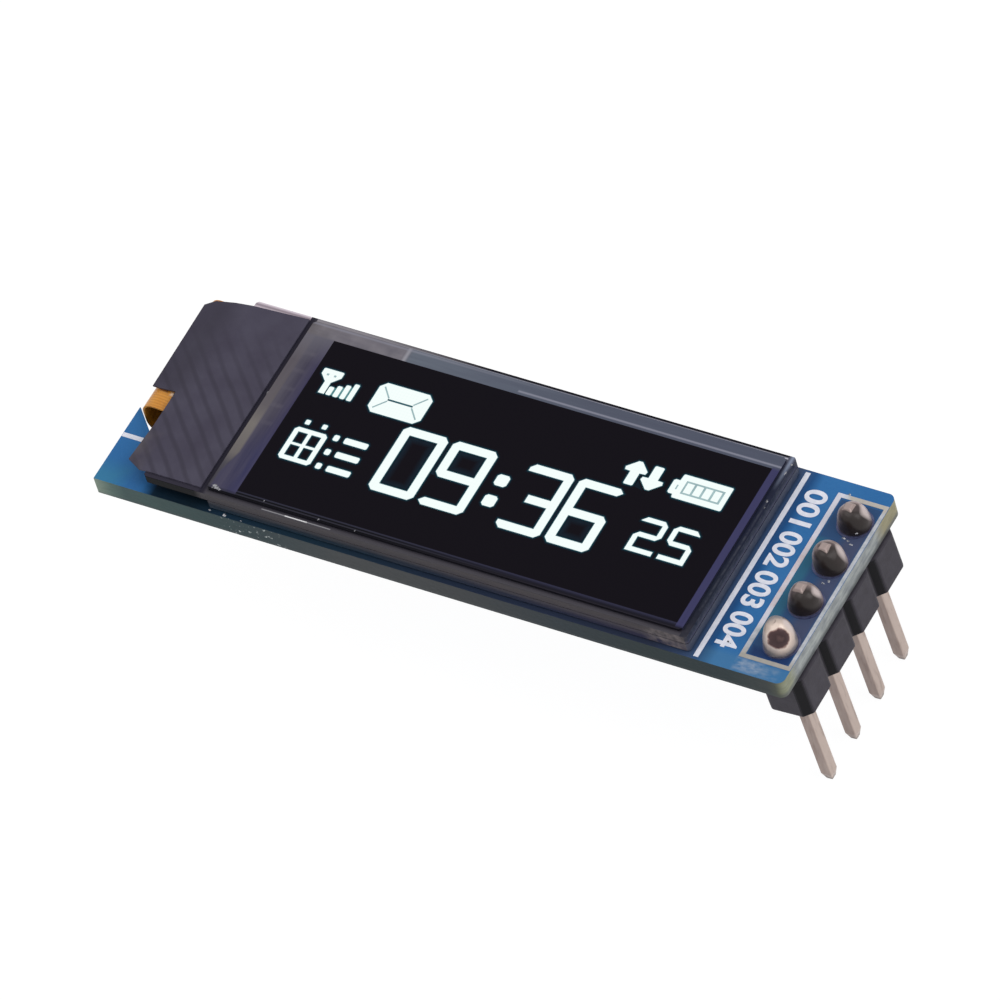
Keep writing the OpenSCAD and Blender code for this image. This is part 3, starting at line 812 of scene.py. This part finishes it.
# Painted highlights: a bright line along the back of the glass top and a white streak on its front rim.
rim = ramp(tree, along["Y"], [
    (0.25, "4a484e"), (0.4, "454249"), (0.53, "2f2d35"), (6, "3d3b44"), (11.46, "4b4d5b"), (11.49, "565866"),
    (11.53, "cfcfdc"), (11.56, "c0c0ce"), (11.6, "4a4a5a"), (11.63, "191922"), (11.76, "0e0e15")
])
dull_back = ramp(tree, along["Y"], [(11.47, "6f6c72"), (11.6, "928e94"), (11.7, "8a868d"), (11.74, "4b4853")])
dull_share = times(tree, above(tree, along["Y"], 6.0), rising(tree, along["X"], 16.0, 9.0))
rim = blended(tree, dull_share, rim, dull_back)
rim = marked(tree, place, rim, [
    ("ffffff", (10.9, 0.35, 12.1, 0.37), 0.03, 1.0), ("d0d0d4", (9.6, 0.35, 13.4, 0.37), 0.03, 0.4)
])
end_rim = ramp(tree, along["Y"], [
    (0.25, "3b3a42"), (1.2, "2b2c38"), (3, "252a38"), (7.5, "22263a"), (9.5, "262a3d"), (10.6, "34384a"),
    (11.6, "5d5f70")
])
end_rim = over(tree, end_rim, "1a1e2b", streaks, 0.5)
# Painted highlights: pale streaks along the end of the glass, the blue one strongest towards the back.
end_rim = over(tree, end_rim, "6b6d78", in_patch(tree, place, 32.8, 2.0, 32.84, 9.0, 0.06), streaks, 0.3)
end_rim_highlight = in_band(tree, along["X"], 32.76, 32.8, 0.12)
end_rim = over(tree, end_rim, "8d97ad", end_rim_highlight, rising(tree, along["Y"], 9.6, 11.4), 0.8)
rim = blended(tree, above(tree, along["X"], 32.58), rim, end_rim)
groove = ramp(tree, along["X"], [(6.0, "34313d"), (6.15, "262430"), (6.3, "2b2933"), (6.45, "45424a")])
rim = blended(tree, below(tree, along["X"], 6.45), rim, groove)
# Painted light: the glass ledge behind the cover tape is painted pale for the bright backdrop seen through
# it.
ledge_back = times(tree, below(tree, along["X"], 6.1), above(tree, along["Y"], 11.4))
ledge_painted_light = ramp(tree, along["Y"], [
    (11.45, "c9bcc6"), (11.56, "8f828c"), (11.62, "a89ca6"), (11.7, "d8ccd6")
])
rim = blended(tree, ledge_back, rim, ledge_painted_light)
coat(tree, surface, blended(tree, above(tree, normal["Z"], LEVEL), sides, rim))
relief(tree, surface, flecks, 0.004, 0.4)


def softened(node, material, width, segments=2):
    """The node's shape with its edges broken by a small round, in place of the node."""
    mesh = nodes[node].data.copy()
    shape = bmesh.new()
    shape.from_mesh(mesh)
    bmesh.ops.remove_doubles(shape, verts=shape.verts, dist=SAME_PLACE * MM)
    bmesh.ops.dissolve_limit(shape, angle_limit=math.radians(1), verts=shape.verts, edges=shape.edges)
    shape.to_mesh(mesh)
    shape.free()
    piece = ridden(node + "_softened", mesh, material)
    rounding = piece.modifiers.new("edges", "BEVEL")
    rounding.width = width * MM
    rounding.segments = segments
    rounding.limit_method = "ANGLE"
    rounding.angle_limit = math.radians(30)
    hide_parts(node)


softened("front_glass", display_glass, 0.03)
dress("rear_glass", display_glass)

sealing = mottled("rim_seal", 0.4, 2.5, "302c2c", "4a4440", Roughness=0.4, Specular_IOR_Level=0.1)
dress("seal_ring", sealing)

drying = mottled("drying_sheet", 0.3, 1.5, "cfcabc", "e2dfd6", Roughness=0.9)
dress("desiccant_sheet", drying)

organic = mottled("pixel_film", 0.2, 1.5, "100e14", "1a171f", Roughness=0.2)
dress("pixel_layer", organic)

silicon = mottled("driver_silicon", 0.2, 1.5, "3a3a44", "50505c", Roughness=0.15, Metallic=0.6)
dress("driver_chip", silicon)

# ---- Droplets ----
# Drops of clear glue and flux left from assembly: at the panel's corners, on the strip of
# board in front of it and round the soldered pins. Cured resin, low domes of uneven outline.

DROP_POINTS = 20
DROP_RINGS = 5
DROP_SUNK = 0.005
GLASS_TOP = 1.12

polarizer_top = (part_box("polarizer")[1].z - corner.z) / MM
film = polarizer_top - DROP_SUNK
glass = GLASS_TOP - DROP_SUNK
board_face = -DROP_SUNK

# Its near-white patches are partly white flux and partly painted glints on the glossy drops.
resin = mottled("clear_resin", 0.12, 4.0, "4c505c", "d8d8dc", Roughness=0.12, Specular_IOR_Level=0.8)


def dome(x, y, level, across, along, rise, seed):
    """A low dome on a level face: its rings shrink as the cosine of a quarter turn while they rise as
    the sine, and the outline swells and shrinks by three seeded waves round it."""
    noise = np.random.default_rng(seed)
    about = np.linspace(0, 2 * math.pi, DROP_POINTS, endpoint=False)
    climb = np.linspace(0, math.pi / 2, DROP_RINGS + 1)[:-1, None]
    waves = sum(0.16 * np.sin(k * about + phase) for k, phase in zip((2, 3, 5), noise.uniform(0, 6.3, 3)))
    radius = np.cos(climb) * (1 + waves)
    rings = spun(x, y, radius, level + rise * np.sin(climb), about, (across, along)).reshape(-1, 3)
    top = len(rings)
    last = np.arange(top - DROP_POINTS, top)
    cap = np.stack([last, np.roll(last, -1), np.full(DROP_POINTS, top)], -1)
    return np.vstack([rings, [(x, y, level + rise)]]), grid_faces(DROP_RINGS, DROP_POINTS, ring=True), cap


def drops(name, places, material):
    """One piece made of several domes, each from x, y, level, half width, half length and height."""
    points, faces, start = [], [], 0
    for seed, measures in enumerate(places):
        rings, sides, cap = dome(*measures, seed)
        points.append(rings)
        faces += (sides + start).tolist() + (cap + start).tolist()
        start += len(rings)
    new_piece(name, placed(np.vstack(points)), faces, material).data.shade_smooth()


# Its pale patches are painted glints on the glossy glue.
glue = mottled("clear_glue", 0.1, 4.0, "3b3a41", "a3a3a9", Roughness=0.12, Specular_IOR_Level=0.5)

drops("corner_glue", [
    (6.82, 0.72, film, 0.2, 0.12, 0.03), (7.05, 0.64, film, 0.14, 0.06, 0.03),
    (9.55, 0.74, film, 0.03, 0.05, 0.02), (12.65, 0.62, film, 0.04, 0.07, 0.02),
    (14.7, 0.6, film, 0.03, 0.05, 0.02), (6.36, 6.8, glass, 0.1, 0.13, 0.06),
    (32.8, 8.9, glass, 0.06, 0.08, 0.03), (32.88, 8.5, glass, 0.03, 0.05, 0.02),
    (32.9, 11.28, glass, 0.05, 0.07, 0.03), (32.86, 10.72, glass, 0.04, 0.1, 0.02),
], glue)
drops("strip_glue", [
    (7.36, 0.12, board_face, 0.1, 0.07, 0.08), (6.5, 0.16, board_face, 0.06, 0.04, 0.03),
    (8.3, 0.08, board_face, 0.04, 0.03, 0.03),
], resin)
drops("flux_specks", [
    (36.75, 8.85, board_face, 0.12, 0.04, 0.03), (37.0, 8.78, board_face, 0.08, 0.05, 0.03),
    (37.25, 8.62, board_face, 0.1, 0.05, 0.03), (37.57, 10.1, board_face, 0.06, 0.06, 0.05),
    (37.35, 9.15, 0.25, 0.06, 0.06, 0.06), (36.25, 8.25, board_face, 0.12, 0.1, 0.05),
    (37.05, 6.1, board_face, 0.08, 0.05, 0.03), (37.27, 6.3, board_face, 0.07, 0.07, 0.03),
    (36.35, 5.85, board_face, 0.14, 0.08, 0.05), (35.8, 11.3, board_face, 0.07, 0.07, 0.05),
], resin)

# ---- Lit pixels ----
# What the panel shows: a clock, a signal mark, a message, arrows, a battery and two menu marks.
# Each lit stroke is a flat cold-white field that gives off light, set in a faint blue-green
# glow painted round it.

EDGE_GLOW = 0.045
WIDE_GLOW = 0.12
FIELD_SUNK = 0.002
INNER_HEIGHT = 0.002
WIDE_HEIGHT = 0.003
EDGE_HEIGHT = 0.006
BAR_HEIGHT = 0.0075
LIT_HEIGHT = 0.009
MARK_HEIGHT = 0.013
FOLD_HEIGHT = 0.015
PIXEL_PITCH = 0.175

lit, tree, surface, place = new_material(
    "lit_pixels", Roughness=0.9, Specular_IOR_Level=0.0, Emission_Strength=1.0
)
surface.inputs["Base Color"].default_value = tone("0a0a0a")
cell = vector_math(tree, "FRACTION", vector_math(tree, "DIVIDE", place, (PIXEL_PITCH, PIXEL_PITCH, 1.0)))
edge = split(tree, vector_math(tree, "ABSOLUTE", vector_math(tree, "SUBTRACT", cell, (0.5, 0.5, 0.5))))
gap = above(tree, math_node(tree, "MAXIMUM", edge["X"], edge["Y"]), 0.45)
shine = over(tree, tone("f6fffd"), "dcf5f1", gap, 0.3)
tree.links.new(shine, surface.inputs["Emission Color"])

edge_glow = mottled("pixel_edge_glow", 0.5, 2.0, "1d4b57", "2c626c", Roughness=0.3, Specular_IOR_Level=0.03)
wide_glow = mottled("pixel_wide_glow", 0.5, 2.0, "0d1822", "101d29", Roughness=0.3, Specular_IOR_Level=0.03)
bar_glow = mottled("signal_glow", 0.5, 2.0, "4b7f84", "659a9d", Roughness=0.9, Specular_IOR_Level=0.0)
gap_glow = mottled("pixel_gap_glow", 0.5, 2.0, "93b0b4", "acc9cb", Roughness=0.9, Specular_IOR_Level=0.0)


def grown(outline, by):
    """An outline moved outwards by a distance: each point goes along the bisector of its two edges."""
    outline = np.asarray(outline, float)
    nearly = np.roll(outline, -1, 0) - outline
    nearly /= np.linalg.norm(nearly, axis=1, keepdims=True)
    before = np.roll(nearly, 1, 0)
    area = np.sum(outline[:, 0] * np.roll(outline[:, 1], -1) - np.roll(outline[:, 0], -1) * outline[:, 1])
    outwards = np.stack([(before + nearly)[:, 1], -(before + nearly)[:, 0]], 1) * np.sign(area)
    outwards /= np.linalg.norm(outwards, axis=1, keepdims=True)
    facing = np.stack([nearly[:, 1], -nearly[:, 0]], 1) * np.sign(area)
    return outline + outwards * by / np.maximum(np.sum(outwards * facing, 1, keepdims=True), 0.5)


def bar(start, end, width):
    """The outline of a straight bar of this width between two points."""
    start, end = np.asarray(start, float), np.asarray(end, float)
    along = (end - start) / np.linalg.norm(end - start)
    across = np.array([-along[1], along[0]]) * width / 2
    return np.array([start - across, end - across, end + across, start + across])


def field(name, outlines, height, material, sunk=0.0):
    """A flat field on the polarizer, from as far below its face as it is sunk up to this height."""
    flat_shape(name, outlines, polarizer_top - sunk, polarizer_top + height, material)


def light_up(name, shapes):
    """Lit fields from (outline, holes) shapes, each with a painted bright edge and a faint painted field of
    glow.
    """
    for suffix, reach, height, material in (
        ("", 0.0, LIT_HEIGHT, lit), ("_edge", EDGE_GLOW, EDGE_HEIGHT, edge_glow),
        ("_glow", WIDE_GLOW, WIDE_HEIGHT, wide_glow),
    ):
        outlines = [grown(outline, reach) for outline, holes in shapes]
        outlines += [grown(hole, -reach) for outline, holes in shapes for hole in holes]
        field(name + suffix, outlines, height, material, FIELD_SUNK)


def numeral(figure, low_x, low_y, width, height, stroke, cut):
    """A squared numeral as one outline and its holes, with its outer corners cut."""
    half = stroke / 2
    middle = height / 2
    w, h, s, c = width, height, stroke, cut
    nine = [(c, 0), (w - c, 0), (w, c), (w, h - c), (w - c, h), (c, h), (0, h - c), (0, middle - half + c),
            (c, middle - half), (w - s, middle - half), (w - s, s), (c, s), (0, s - c)]
    two = [(0, 0), (w, 0), (w, s), (s, s), (s, middle - half), (w - c, middle - half), (w, middle - half + c),
           (w, h - c), (w - c, h), (c, h), (0, h - c), (0, h - s), (w - s, h - s), (w - s, middle + half),
           (c, middle + half), (0, middle + half - c)]
    three = [(c, 0), (w - c, 0), (w, c), (w, h - c), (w - c, h), (c, h), (0, h - c), (0, h - s),
             (w - s, h - s), (w - s, middle + half), (0.3 * w, middle + half), (0.3 * w, middle - half),
             (w - s, middle - half), (w - s, s), (0, s), (0, c)]
    shapes = {
        "0": (rectangle(0, 0, w, h, c), [rectangle(s, s, w - s, h - s)]),
        "9": (nine, [rectangle(s, middle + half, w - s, h - s)]),
        "2": (two, []),
        "3": (three, []),
    }
    if figure == "6":
        outline, holes = shapes["9"]
        outline, holes = np.array([w, h]) - outline, [np.array([w, h]) - hole for hole in holes]
    elif figure == "5":
        outline, holes = np.array([w, 0]) + np.array(two) * (-1, 1), []
    else:
        outline, holes = shapes[figure]
    shift = np.array([low_x, low_y])
    return np.asarray(outline) + shift, [hole + shift for hole in holes]


CLOCK_LOW = 3.1
CLOCK_HIGH = 7.13
CLOCK_STROKE = 0.46
CORNER_CUT = 0.24
DOT_SIDE = 0.68
INSIDE_DARK = 0.45
LEFT_STRIP = 0.34
clock_places = (("0", 13.95, 2.48), ("9", 16.71, 2.46), ("3", 21.0, 2.4), ("6", 23.68, 2.39))
clock = [
    numeral(figure, low_x, CLOCK_LOW, width, CLOCK_HIGH - CLOCK_LOW, CLOCK_STROKE, CORNER_CUT)
    for figure, low_x, width in clock_places
]
clock += [(rectangle(19.73, low_y, 19.73 + DOT_SIDE, low_y + DOT_SIDE, 0.12), []) for low_y in (4.05, 5.34)]
light_up("clock", clock)

inner_glow, tree, surface, place = new_material("clock_inner_glow", Roughness=0.3, Specular_IOR_Level=0.03)
clouds = use(tree, mottling, Place=place, Grain=0.5, Contrast=2.0)
glow = blended(tree, clouds, tone("121d29"), tone("162734"))
figure_insides = ((14.4, 3.55, 15.98, 6.68), (17.16, 5.34, 18.72, 6.68), (24.13, 3.55, 25.62, 4.89))
inset = np.array([INSIDE_DARK, INSIDE_DARK, -INSIDE_DARK, -INSIDE_DARK])
glow = marked(tree, place, glow, [("110e15", inside + inset, 0.35) for inside in figure_insides])
coat(tree, surface, glow)
inner_fields = [rectangle(*inside) for inside in figure_insides]
inner_fields += [
    rectangle(low_x, low_y, low_x + LEFT_STRIP, high_y)
    for low_x, low_y, high_y in ((16.4, 4.9, 6.9), (23.37, 3.3, 6.9))
]
field("clock_inner_glow", inner_fields, INNER_HEIGHT, inner_glow, FIELD_SUNK)
light_up("small_number", [
    numeral(figure, low_x, 3.95, 1.42, 2.1, 0.27, CORNER_CUT)
    for figure, low_x in (("2", 27.68), ("5", 29.42))
])

signal = [([
    (8.37, 8.98), (8.42, 9.03), (9.43, 9.03), (9.48, 8.98), (9.48, 8.68), (9.1, 8.28), (9.1, 7.56),
    (8.77, 7.56), (8.77, 8.28), (8.37, 8.68)
], [])]
signal += [
    (rectangle(low_x, 7.56, low_x + 0.27, high_y, 0.05), [])
    for low_x, high_y in ((9.17, 8.08), (9.56, 8.24), (9.94, 8.42), (10.32, 8.61))
]
light_up("signal_mark", signal)
field("signal_glow", [[(9.2, 7.6), (10.55, 7.6), (10.55, 8.45), (9.2, 7.98)]], BAR_HEIGHT, bar_glow)
light_up("message_mark", [(rectangle(11.53, 7.34, 14.47, 9.2, 0.3), [])])
field("message_fold", [bar((12.3, 8.27), (13.7, 8.27), 0.1)], FOLD_HEIGHT, edge_glow)
folds = [bar(start, end, 0.08) for start, end in (
    ((11.8, 8.95), (12.32, 8.36)), ((14.2, 8.95), (13.68, 8.36)), ((11.8, 7.6), (12.32, 8.18)),
    ((14.2, 7.6), (13.68, 8.18))
)]
folds += [rectangle(x, 8.64, x + 0.12, 8.76) for x in (8.66, 9.06)]
field("message_folds", folds, MARK_HEIGHT, gap_glow)

arrow = np.array([
    (-0.1, 1.45), (0.1, 1.45), (0.59, 0.97), (0.55, 0.8), (0.25, 0.78), (0.25, 0.05), (0.2, 0), (-0.2, 0),
    (-0.25, 0.05), (-0.25, 0.78), (-0.55, 0.8), (-0.59, 0.97)
])
light_up("arrows", [(arrow + (25.98, 7.5), []), (-arrow + (27.03, 8.95), [])])

case = [
    (28.4, 7.5), (30.98, 7.5), (31.03, 7.55), (31.03, 8.91), (30.98, 8.96), (28.4, 8.96), (28.35, 8.91),
    (28.32, 8.56), (28.1, 8.56), (28.02, 8.48), (28.02, 7.78), (28.1, 7.7), (28.32, 7.7), (28.35, 7.55)
]
light_up("battery_mark", [(case, [])])
cells = [rectangle(low_x, 7.93, low_x + 0.38, 8.53) for low_x in (28.76, 29.26, 29.76, 30.26)]
gaps = [rectangle(28.66, 7.83, 30.76, 8.63)] + cells + [rectangle(28.3, 8.0, 28.38, 8.28)]
field("battery_gaps", gaps, MARK_HEIGHT, gap_glow)

menu = [(rectangle(8.8, 3.35, 10.6, 5.35, 0.15), [
    rectangle(9.06 + 0.74 * i, 3.6 + 0.82 * j, 9.6 + 0.74 * i, 4.28 + 0.82 * j)
    for i in range(2) for j in range(2)
])]
menu += [(rectangle(9.1, 5.6, 9.36, 5.88, 0.04), []), (rectangle(10.04, 5.6, 10.3, 5.88, 0.04), [])]
light_up("grid_mark", menu)
light_up("list_mark", [
    (rectangle(low_x, 3.35 + 0.9 * i, high_x, 3.7 + 0.9 * i, 0.06), [])
    for low_x, high_x in ((11.5, 12.8), (10.9, 11.2)) for i in range(3)
])

# ---- Ribbon ----
# Polyimide film with fine copper conductors, bonded to the glass ledge and folded
# round the board's end to a soldered row on the back.

CONDUCTOR_PITCH = 0.16

polyimide, tree, surface, place = new_material("amber_polyimide", Roughness=0.3, Specular_IOR_Level=0.3)
along = split(tree, place)
pitch_share = math_node(tree, "FRACT", math_node(tree, "DIVIDE", along["Y"], CONDUCTOR_PITCH))
conductor = in_band(tree, pitch_share, 0.35, 0.65, 0.15)
clouds = use(tree, mottling, Place=place, Grain=0.8, Contrast=2.0)
amber = blended(tree, clouds, tone("c8842f"), tone("dc9a42"))
amber = over(tree, amber, "9a5c1c", conductor, 0.3)
normal = face_normal(tree)
# Painted shade on the fold's inner faces, a painted shadow under the cover tape's notch and a painted
# highlight at the ribbon's corner by the tape.
inside = times(tree, rising(tree, normal["X"], -0.4, -0.1), rising(tree, normal["Z"], -0.6, -0.3))
amber = over(tree, amber, "86560f", rising(tree, along["Z"], 0.55, -0.2), inside, 0.8)
amber = over(tree, amber, "4c1d0c", in_patch(tree, place, 0.3, 5.36, 1.4, 6.2, 0.12), inside, 0.75)
amber = over(tree, amber, "ffe9d2", in_patch(tree, place, 1.66, 5.3, 1.72, 5.36, 0.12), 0.7)
coat(tree, surface, amber)
relief(tree, surface, conductor, 0.01, 0.4)
dress("ribbon", polyimide)

# ---- Cover tape ----
# Black film tape that shields the driver chip and the bond from light: laid flat over the
# ledge and pressed down over the ribbon, with faint slanted ribs in its face.

RIB_SPACING = 0.7

cover_film, tree, surface, place = new_material("black_cover_tape", Roughness=0.45, Specular_IOR_Level=0.1)
along = split(tree, place)
slant = vector_math(tree, "DOT_PRODUCT", place, (math.sqrt(0.5), math.sqrt(0.5), 0))
drift = use(tree, mottling, Place=place, Grain=3.0, Contrast=0.8)
phase = math_node(tree, "ADD", math_node(tree, "DIVIDE", slant, RIB_SPACING), times(tree, drift, 0.4))
wave = math_node(tree, "SINE", times(tree, phase, 2 * math.pi))
rib = times(tree, rising(tree, wave, 0.1, 1.0), rising(tree, along["Y"], 10.5, 6.5))
clouds = use(tree, mottling, Place=place, Grain=1.6, Contrast=2.4)
black = blended(tree, clouds, tone("413d4c"), tone("4b4857"))
black = over(tree, black, "34313d", rib, 0.55)
black = marked(tree, place, black, [
    ("33303b", (0, 6.0, 1.6, 12), 1.2, 0.5), ("5c5658", (1.6, 0.9, 2.2, 2.4), 0.6, clouds, 0.9)
])
coat(tree, surface, black)
relief(tree, surface, rib, 0.02, 0.4)
dress("cover_tape", cover_film)

# ---- Pin header ----
# Four square pins pressed through a black moulded housing with a notch between each two
# units. Tin-plated brass, drawn in to a blunt point at both ends.

plastic, tree, surface, place = new_material("black_nylon", Roughness=0.5, Specular_IOR_Level=0.12)
normal = face_normal(tree)
clouds = use(tree, mottling, Place=place, Grain=0.5, Contrast=2.0)
nylon = blended(tree, clouds, tone("37343b"), tone("413e46"))
shaded = times(tree, rising(tree, normal["Y"], -0.25, -0.7), rising(tree, normal["X"], 0.1, 0.5))
nylon = over(tree, nylon, "131216", shaded)
coat(tree, surface, nylon)
relief(tree, surface, use(tree, mottling, Place=place, Grain=0.1, Contrast=2.0), 0.008, 0.5)
softened("header_housing", plastic, 0.11, 3)

plating, tree, surface, place = new_material(
    "tinned_brass", Metallic=0.4, Roughness=0.4, Specular_IOR_Level=0.3
)
along = split(tree, place)
normal = face_normal(tree)
drawn = use(tree, mottling, Place=stretched(tree, place, 2, 2, 0.35), Grain=0.45, Contrast=2.2)
# Painted light and shade: faces turned to the board's header end are paler, and above the board the stubs are
# pale on top and dark at the sides.
tinned = blended(tree, rising(tree, normal["X"], 0.2, 0.7), tone("92807a"), tone("b9a79e"))
tinned = over(tree, tinned, "d2c2b8", drawn, 0.25)
tinned = over(tree, tinned, "7d6a62", rising(tree, drawn, 0.4, 0.0), 0.5)
tip_depth = (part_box("header_pin_1")[0].z - corner.z) / MM
tinned = over(tree, tinned, "3a302c", rising(tree, along["Z"], tip_depth + 0.3, tip_depth), 0.8)
stub_lit_and_shaded = blended(tree, rising(tree, normal["Z"], 0.0, 0.8), tone("453c3b"), tone("a08f8b"))
tinned = blended(tree, above(tree, along["Z"], 0.0), tinned, stub_lit_and_shaded)
coat(tree, surface, tinned)
relief(tree, surface, drawn, 0.006, 0.4)
for i in range(1, 5):
    softened(f"header_pin_{i}", plating, 0.05)

# ---- Plated holes and solder ----
# Copper barrels with a ring on each face, and a hand-soldered bead round each pin: uneven tin,
# brownish with flux, coloured with a painted reflection and shade that follow how its faces turn,
# and a painted highlight on a ridge.

copper = mottled("tinned_copper", 0.3, 2.4, "3c4064", "5a5f80", Metallic=0.5, Roughness=0.4)

BEAD_STEPS = 28
BEAD_ROUND = 72
BEAD_FOOT = 0.035
PLUG_RADIUS = 0.49
AXIS_RADIUS = 0.02
PIN_LEAN = 0.16


def bead(node, taper, seed):
    """A soldered bead with its plug, inside the node's box: rings about the hole's axis whose radius is
    the cosine of a quarter turn to the power taper and whose height is its sine, dented by seeded waves."""
    noise = np.random.default_rng(seed)
    low, high = board_box(node)
    middle = (low + high) / 2
    climb = np.linspace(0, math.pi / 2, BEAD_STEPS)[:-1, None]
    about = np.linspace(0, 2 * math.pi, BEAD_ROUND, endpoint=False)[None, :]
    dents = 0
    for waves, rings, depth in ((1, 2, 0.09), (2, 2, 0.07), (3, 2, 0.03), (5, 4, 0.012)):
        turn_by, lift_by = noise.uniform(0, 2 * math.pi, 2)
        dents = dents + depth * (1 + np.sin(waves * about + turn_by) * np.sin(rings * climb + lift_by)) / 2
    radius = (high.x - low.x) / 2 * np.cos(climb) ** taper * (1 - dents)
    rise = BEAD_FOOT + (high.z - BEAD_FOOT) * np.sin(climb) * (1 - 0.3 * dents)
    leaning = middle.x - PIN_LEAN * np.sin(climb) * (1 - np.cos(climb))
    plug = np.array([(AXIS_RADIUS, low.z), (PLUG_RADIUS, low.z), (PLUG_RADIUS, BEAD_FOOT)])
    rows = np.concatenate([
        spun(middle.x, middle.y, plug[:, :1], plug[:, 1:], about),
        spun(leaning, middle.y, radius, rise, about),
        spun(middle.x, middle.y, AXIS_RADIUS, rise[-1].mean(), about),
    ])
    return rows.reshape(-1, 3), grid_faces(len(rows), BEAD_ROUND, ring=True)


def solder_material(name, stops, towards=None, dark_middle=None):
    """Solder whose colour, a painted reflection and shade, follows how far its face turns towards one
    direction, with streaks in it and a painted highlight on a ridge. With a dark middle, it follows
    how near the face lies to that place instead, in the board's millimetres."""
    material, tree, surface, place = new_material(name, Metallic=0.2, Roughness=0.3, Specular_IOR_Level=0.3)
    facing = add(tree, "NewGeometry").outputs["Normal"]
    if dark_middle:
        share = rising(tree, vector_math(tree, "DISTANCE", place, dark_middle), 1.0, 0.0)
    else:
        share = vector_math(tree, "DOT_PRODUCT", facing, Vector(towards).normalized())
    streaks = use(tree, mottling, Place=place, Grain=0.5, Contrast=2.6)
    shifted = math_node(tree, "ADD", share, times(tree, math_node(tree, "SUBTRACT", streaks, 0.5), 0.16))
    ridge_highlight = rising(tree, vector_math(tree, "DOT_PRODUCT", facing, (0.75, 0.4, 0.53)), 0.88, 0.98)
    coat(tree, surface, over(tree, ramp(tree, shifted, stops), "d2c4c2", ridge_highlight, 0.8))
    relief(tree, surface, streaks, 0.03, 0.4)
    return material


# Stops for the painted reflection: a bright rim round a dark middle, and faces dark where they turn one way.
round_painted_reflection = [
    (0.0, "857f80"), (0.12, "b3a49c"), (0.3, "cbb9ae"), (0.42, "dccabe"), (0.49, "8d6e68"), (0.54, "4a3536"),
    (0.75, "3b292b"), (0.9, "5d4644")
]
painted_reflection_bead = [
    (-0.7, "6a6266"), (-0.1, "a89898"), (0.2, "8d7d7a"), (0.42, "54494a"), (0.65, "332c2b"), (1.0, "292322")
]
beads = (
    (0.7, 3, {"stops": round_painted_reflection, "dark_middle": (37.16, 1.78, 1.1)}),
    (0.65, 5, {"stops": painted_reflection_bead, "towards": (0.4, -0.62, 0.42)}),
    (0.6, 8, {"stops": painted_reflection_bead, "towards": (0.45, -0.6, 0.4)}),
    (0.65, 13, {"stops": painted_reflection_bead, "towards": (0.5, -0.6, 0.35)}),
)
for i, (taper, seed, colouring) in enumerate(beads, 1):
    dress(f"plated_hole_{i}", copper)
    points, faces = bead(f"solder_joint_{i}", taper, seed)
    metal = solder_material(f"hand_solder_{i}", **colouring)
    piece = facing_out(new_piece(f"solder_bead_{i}", placed(points), faces.tolist(), metal))
    piece.data.shade_smooth()
    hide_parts(f"solder_joint_{i}")
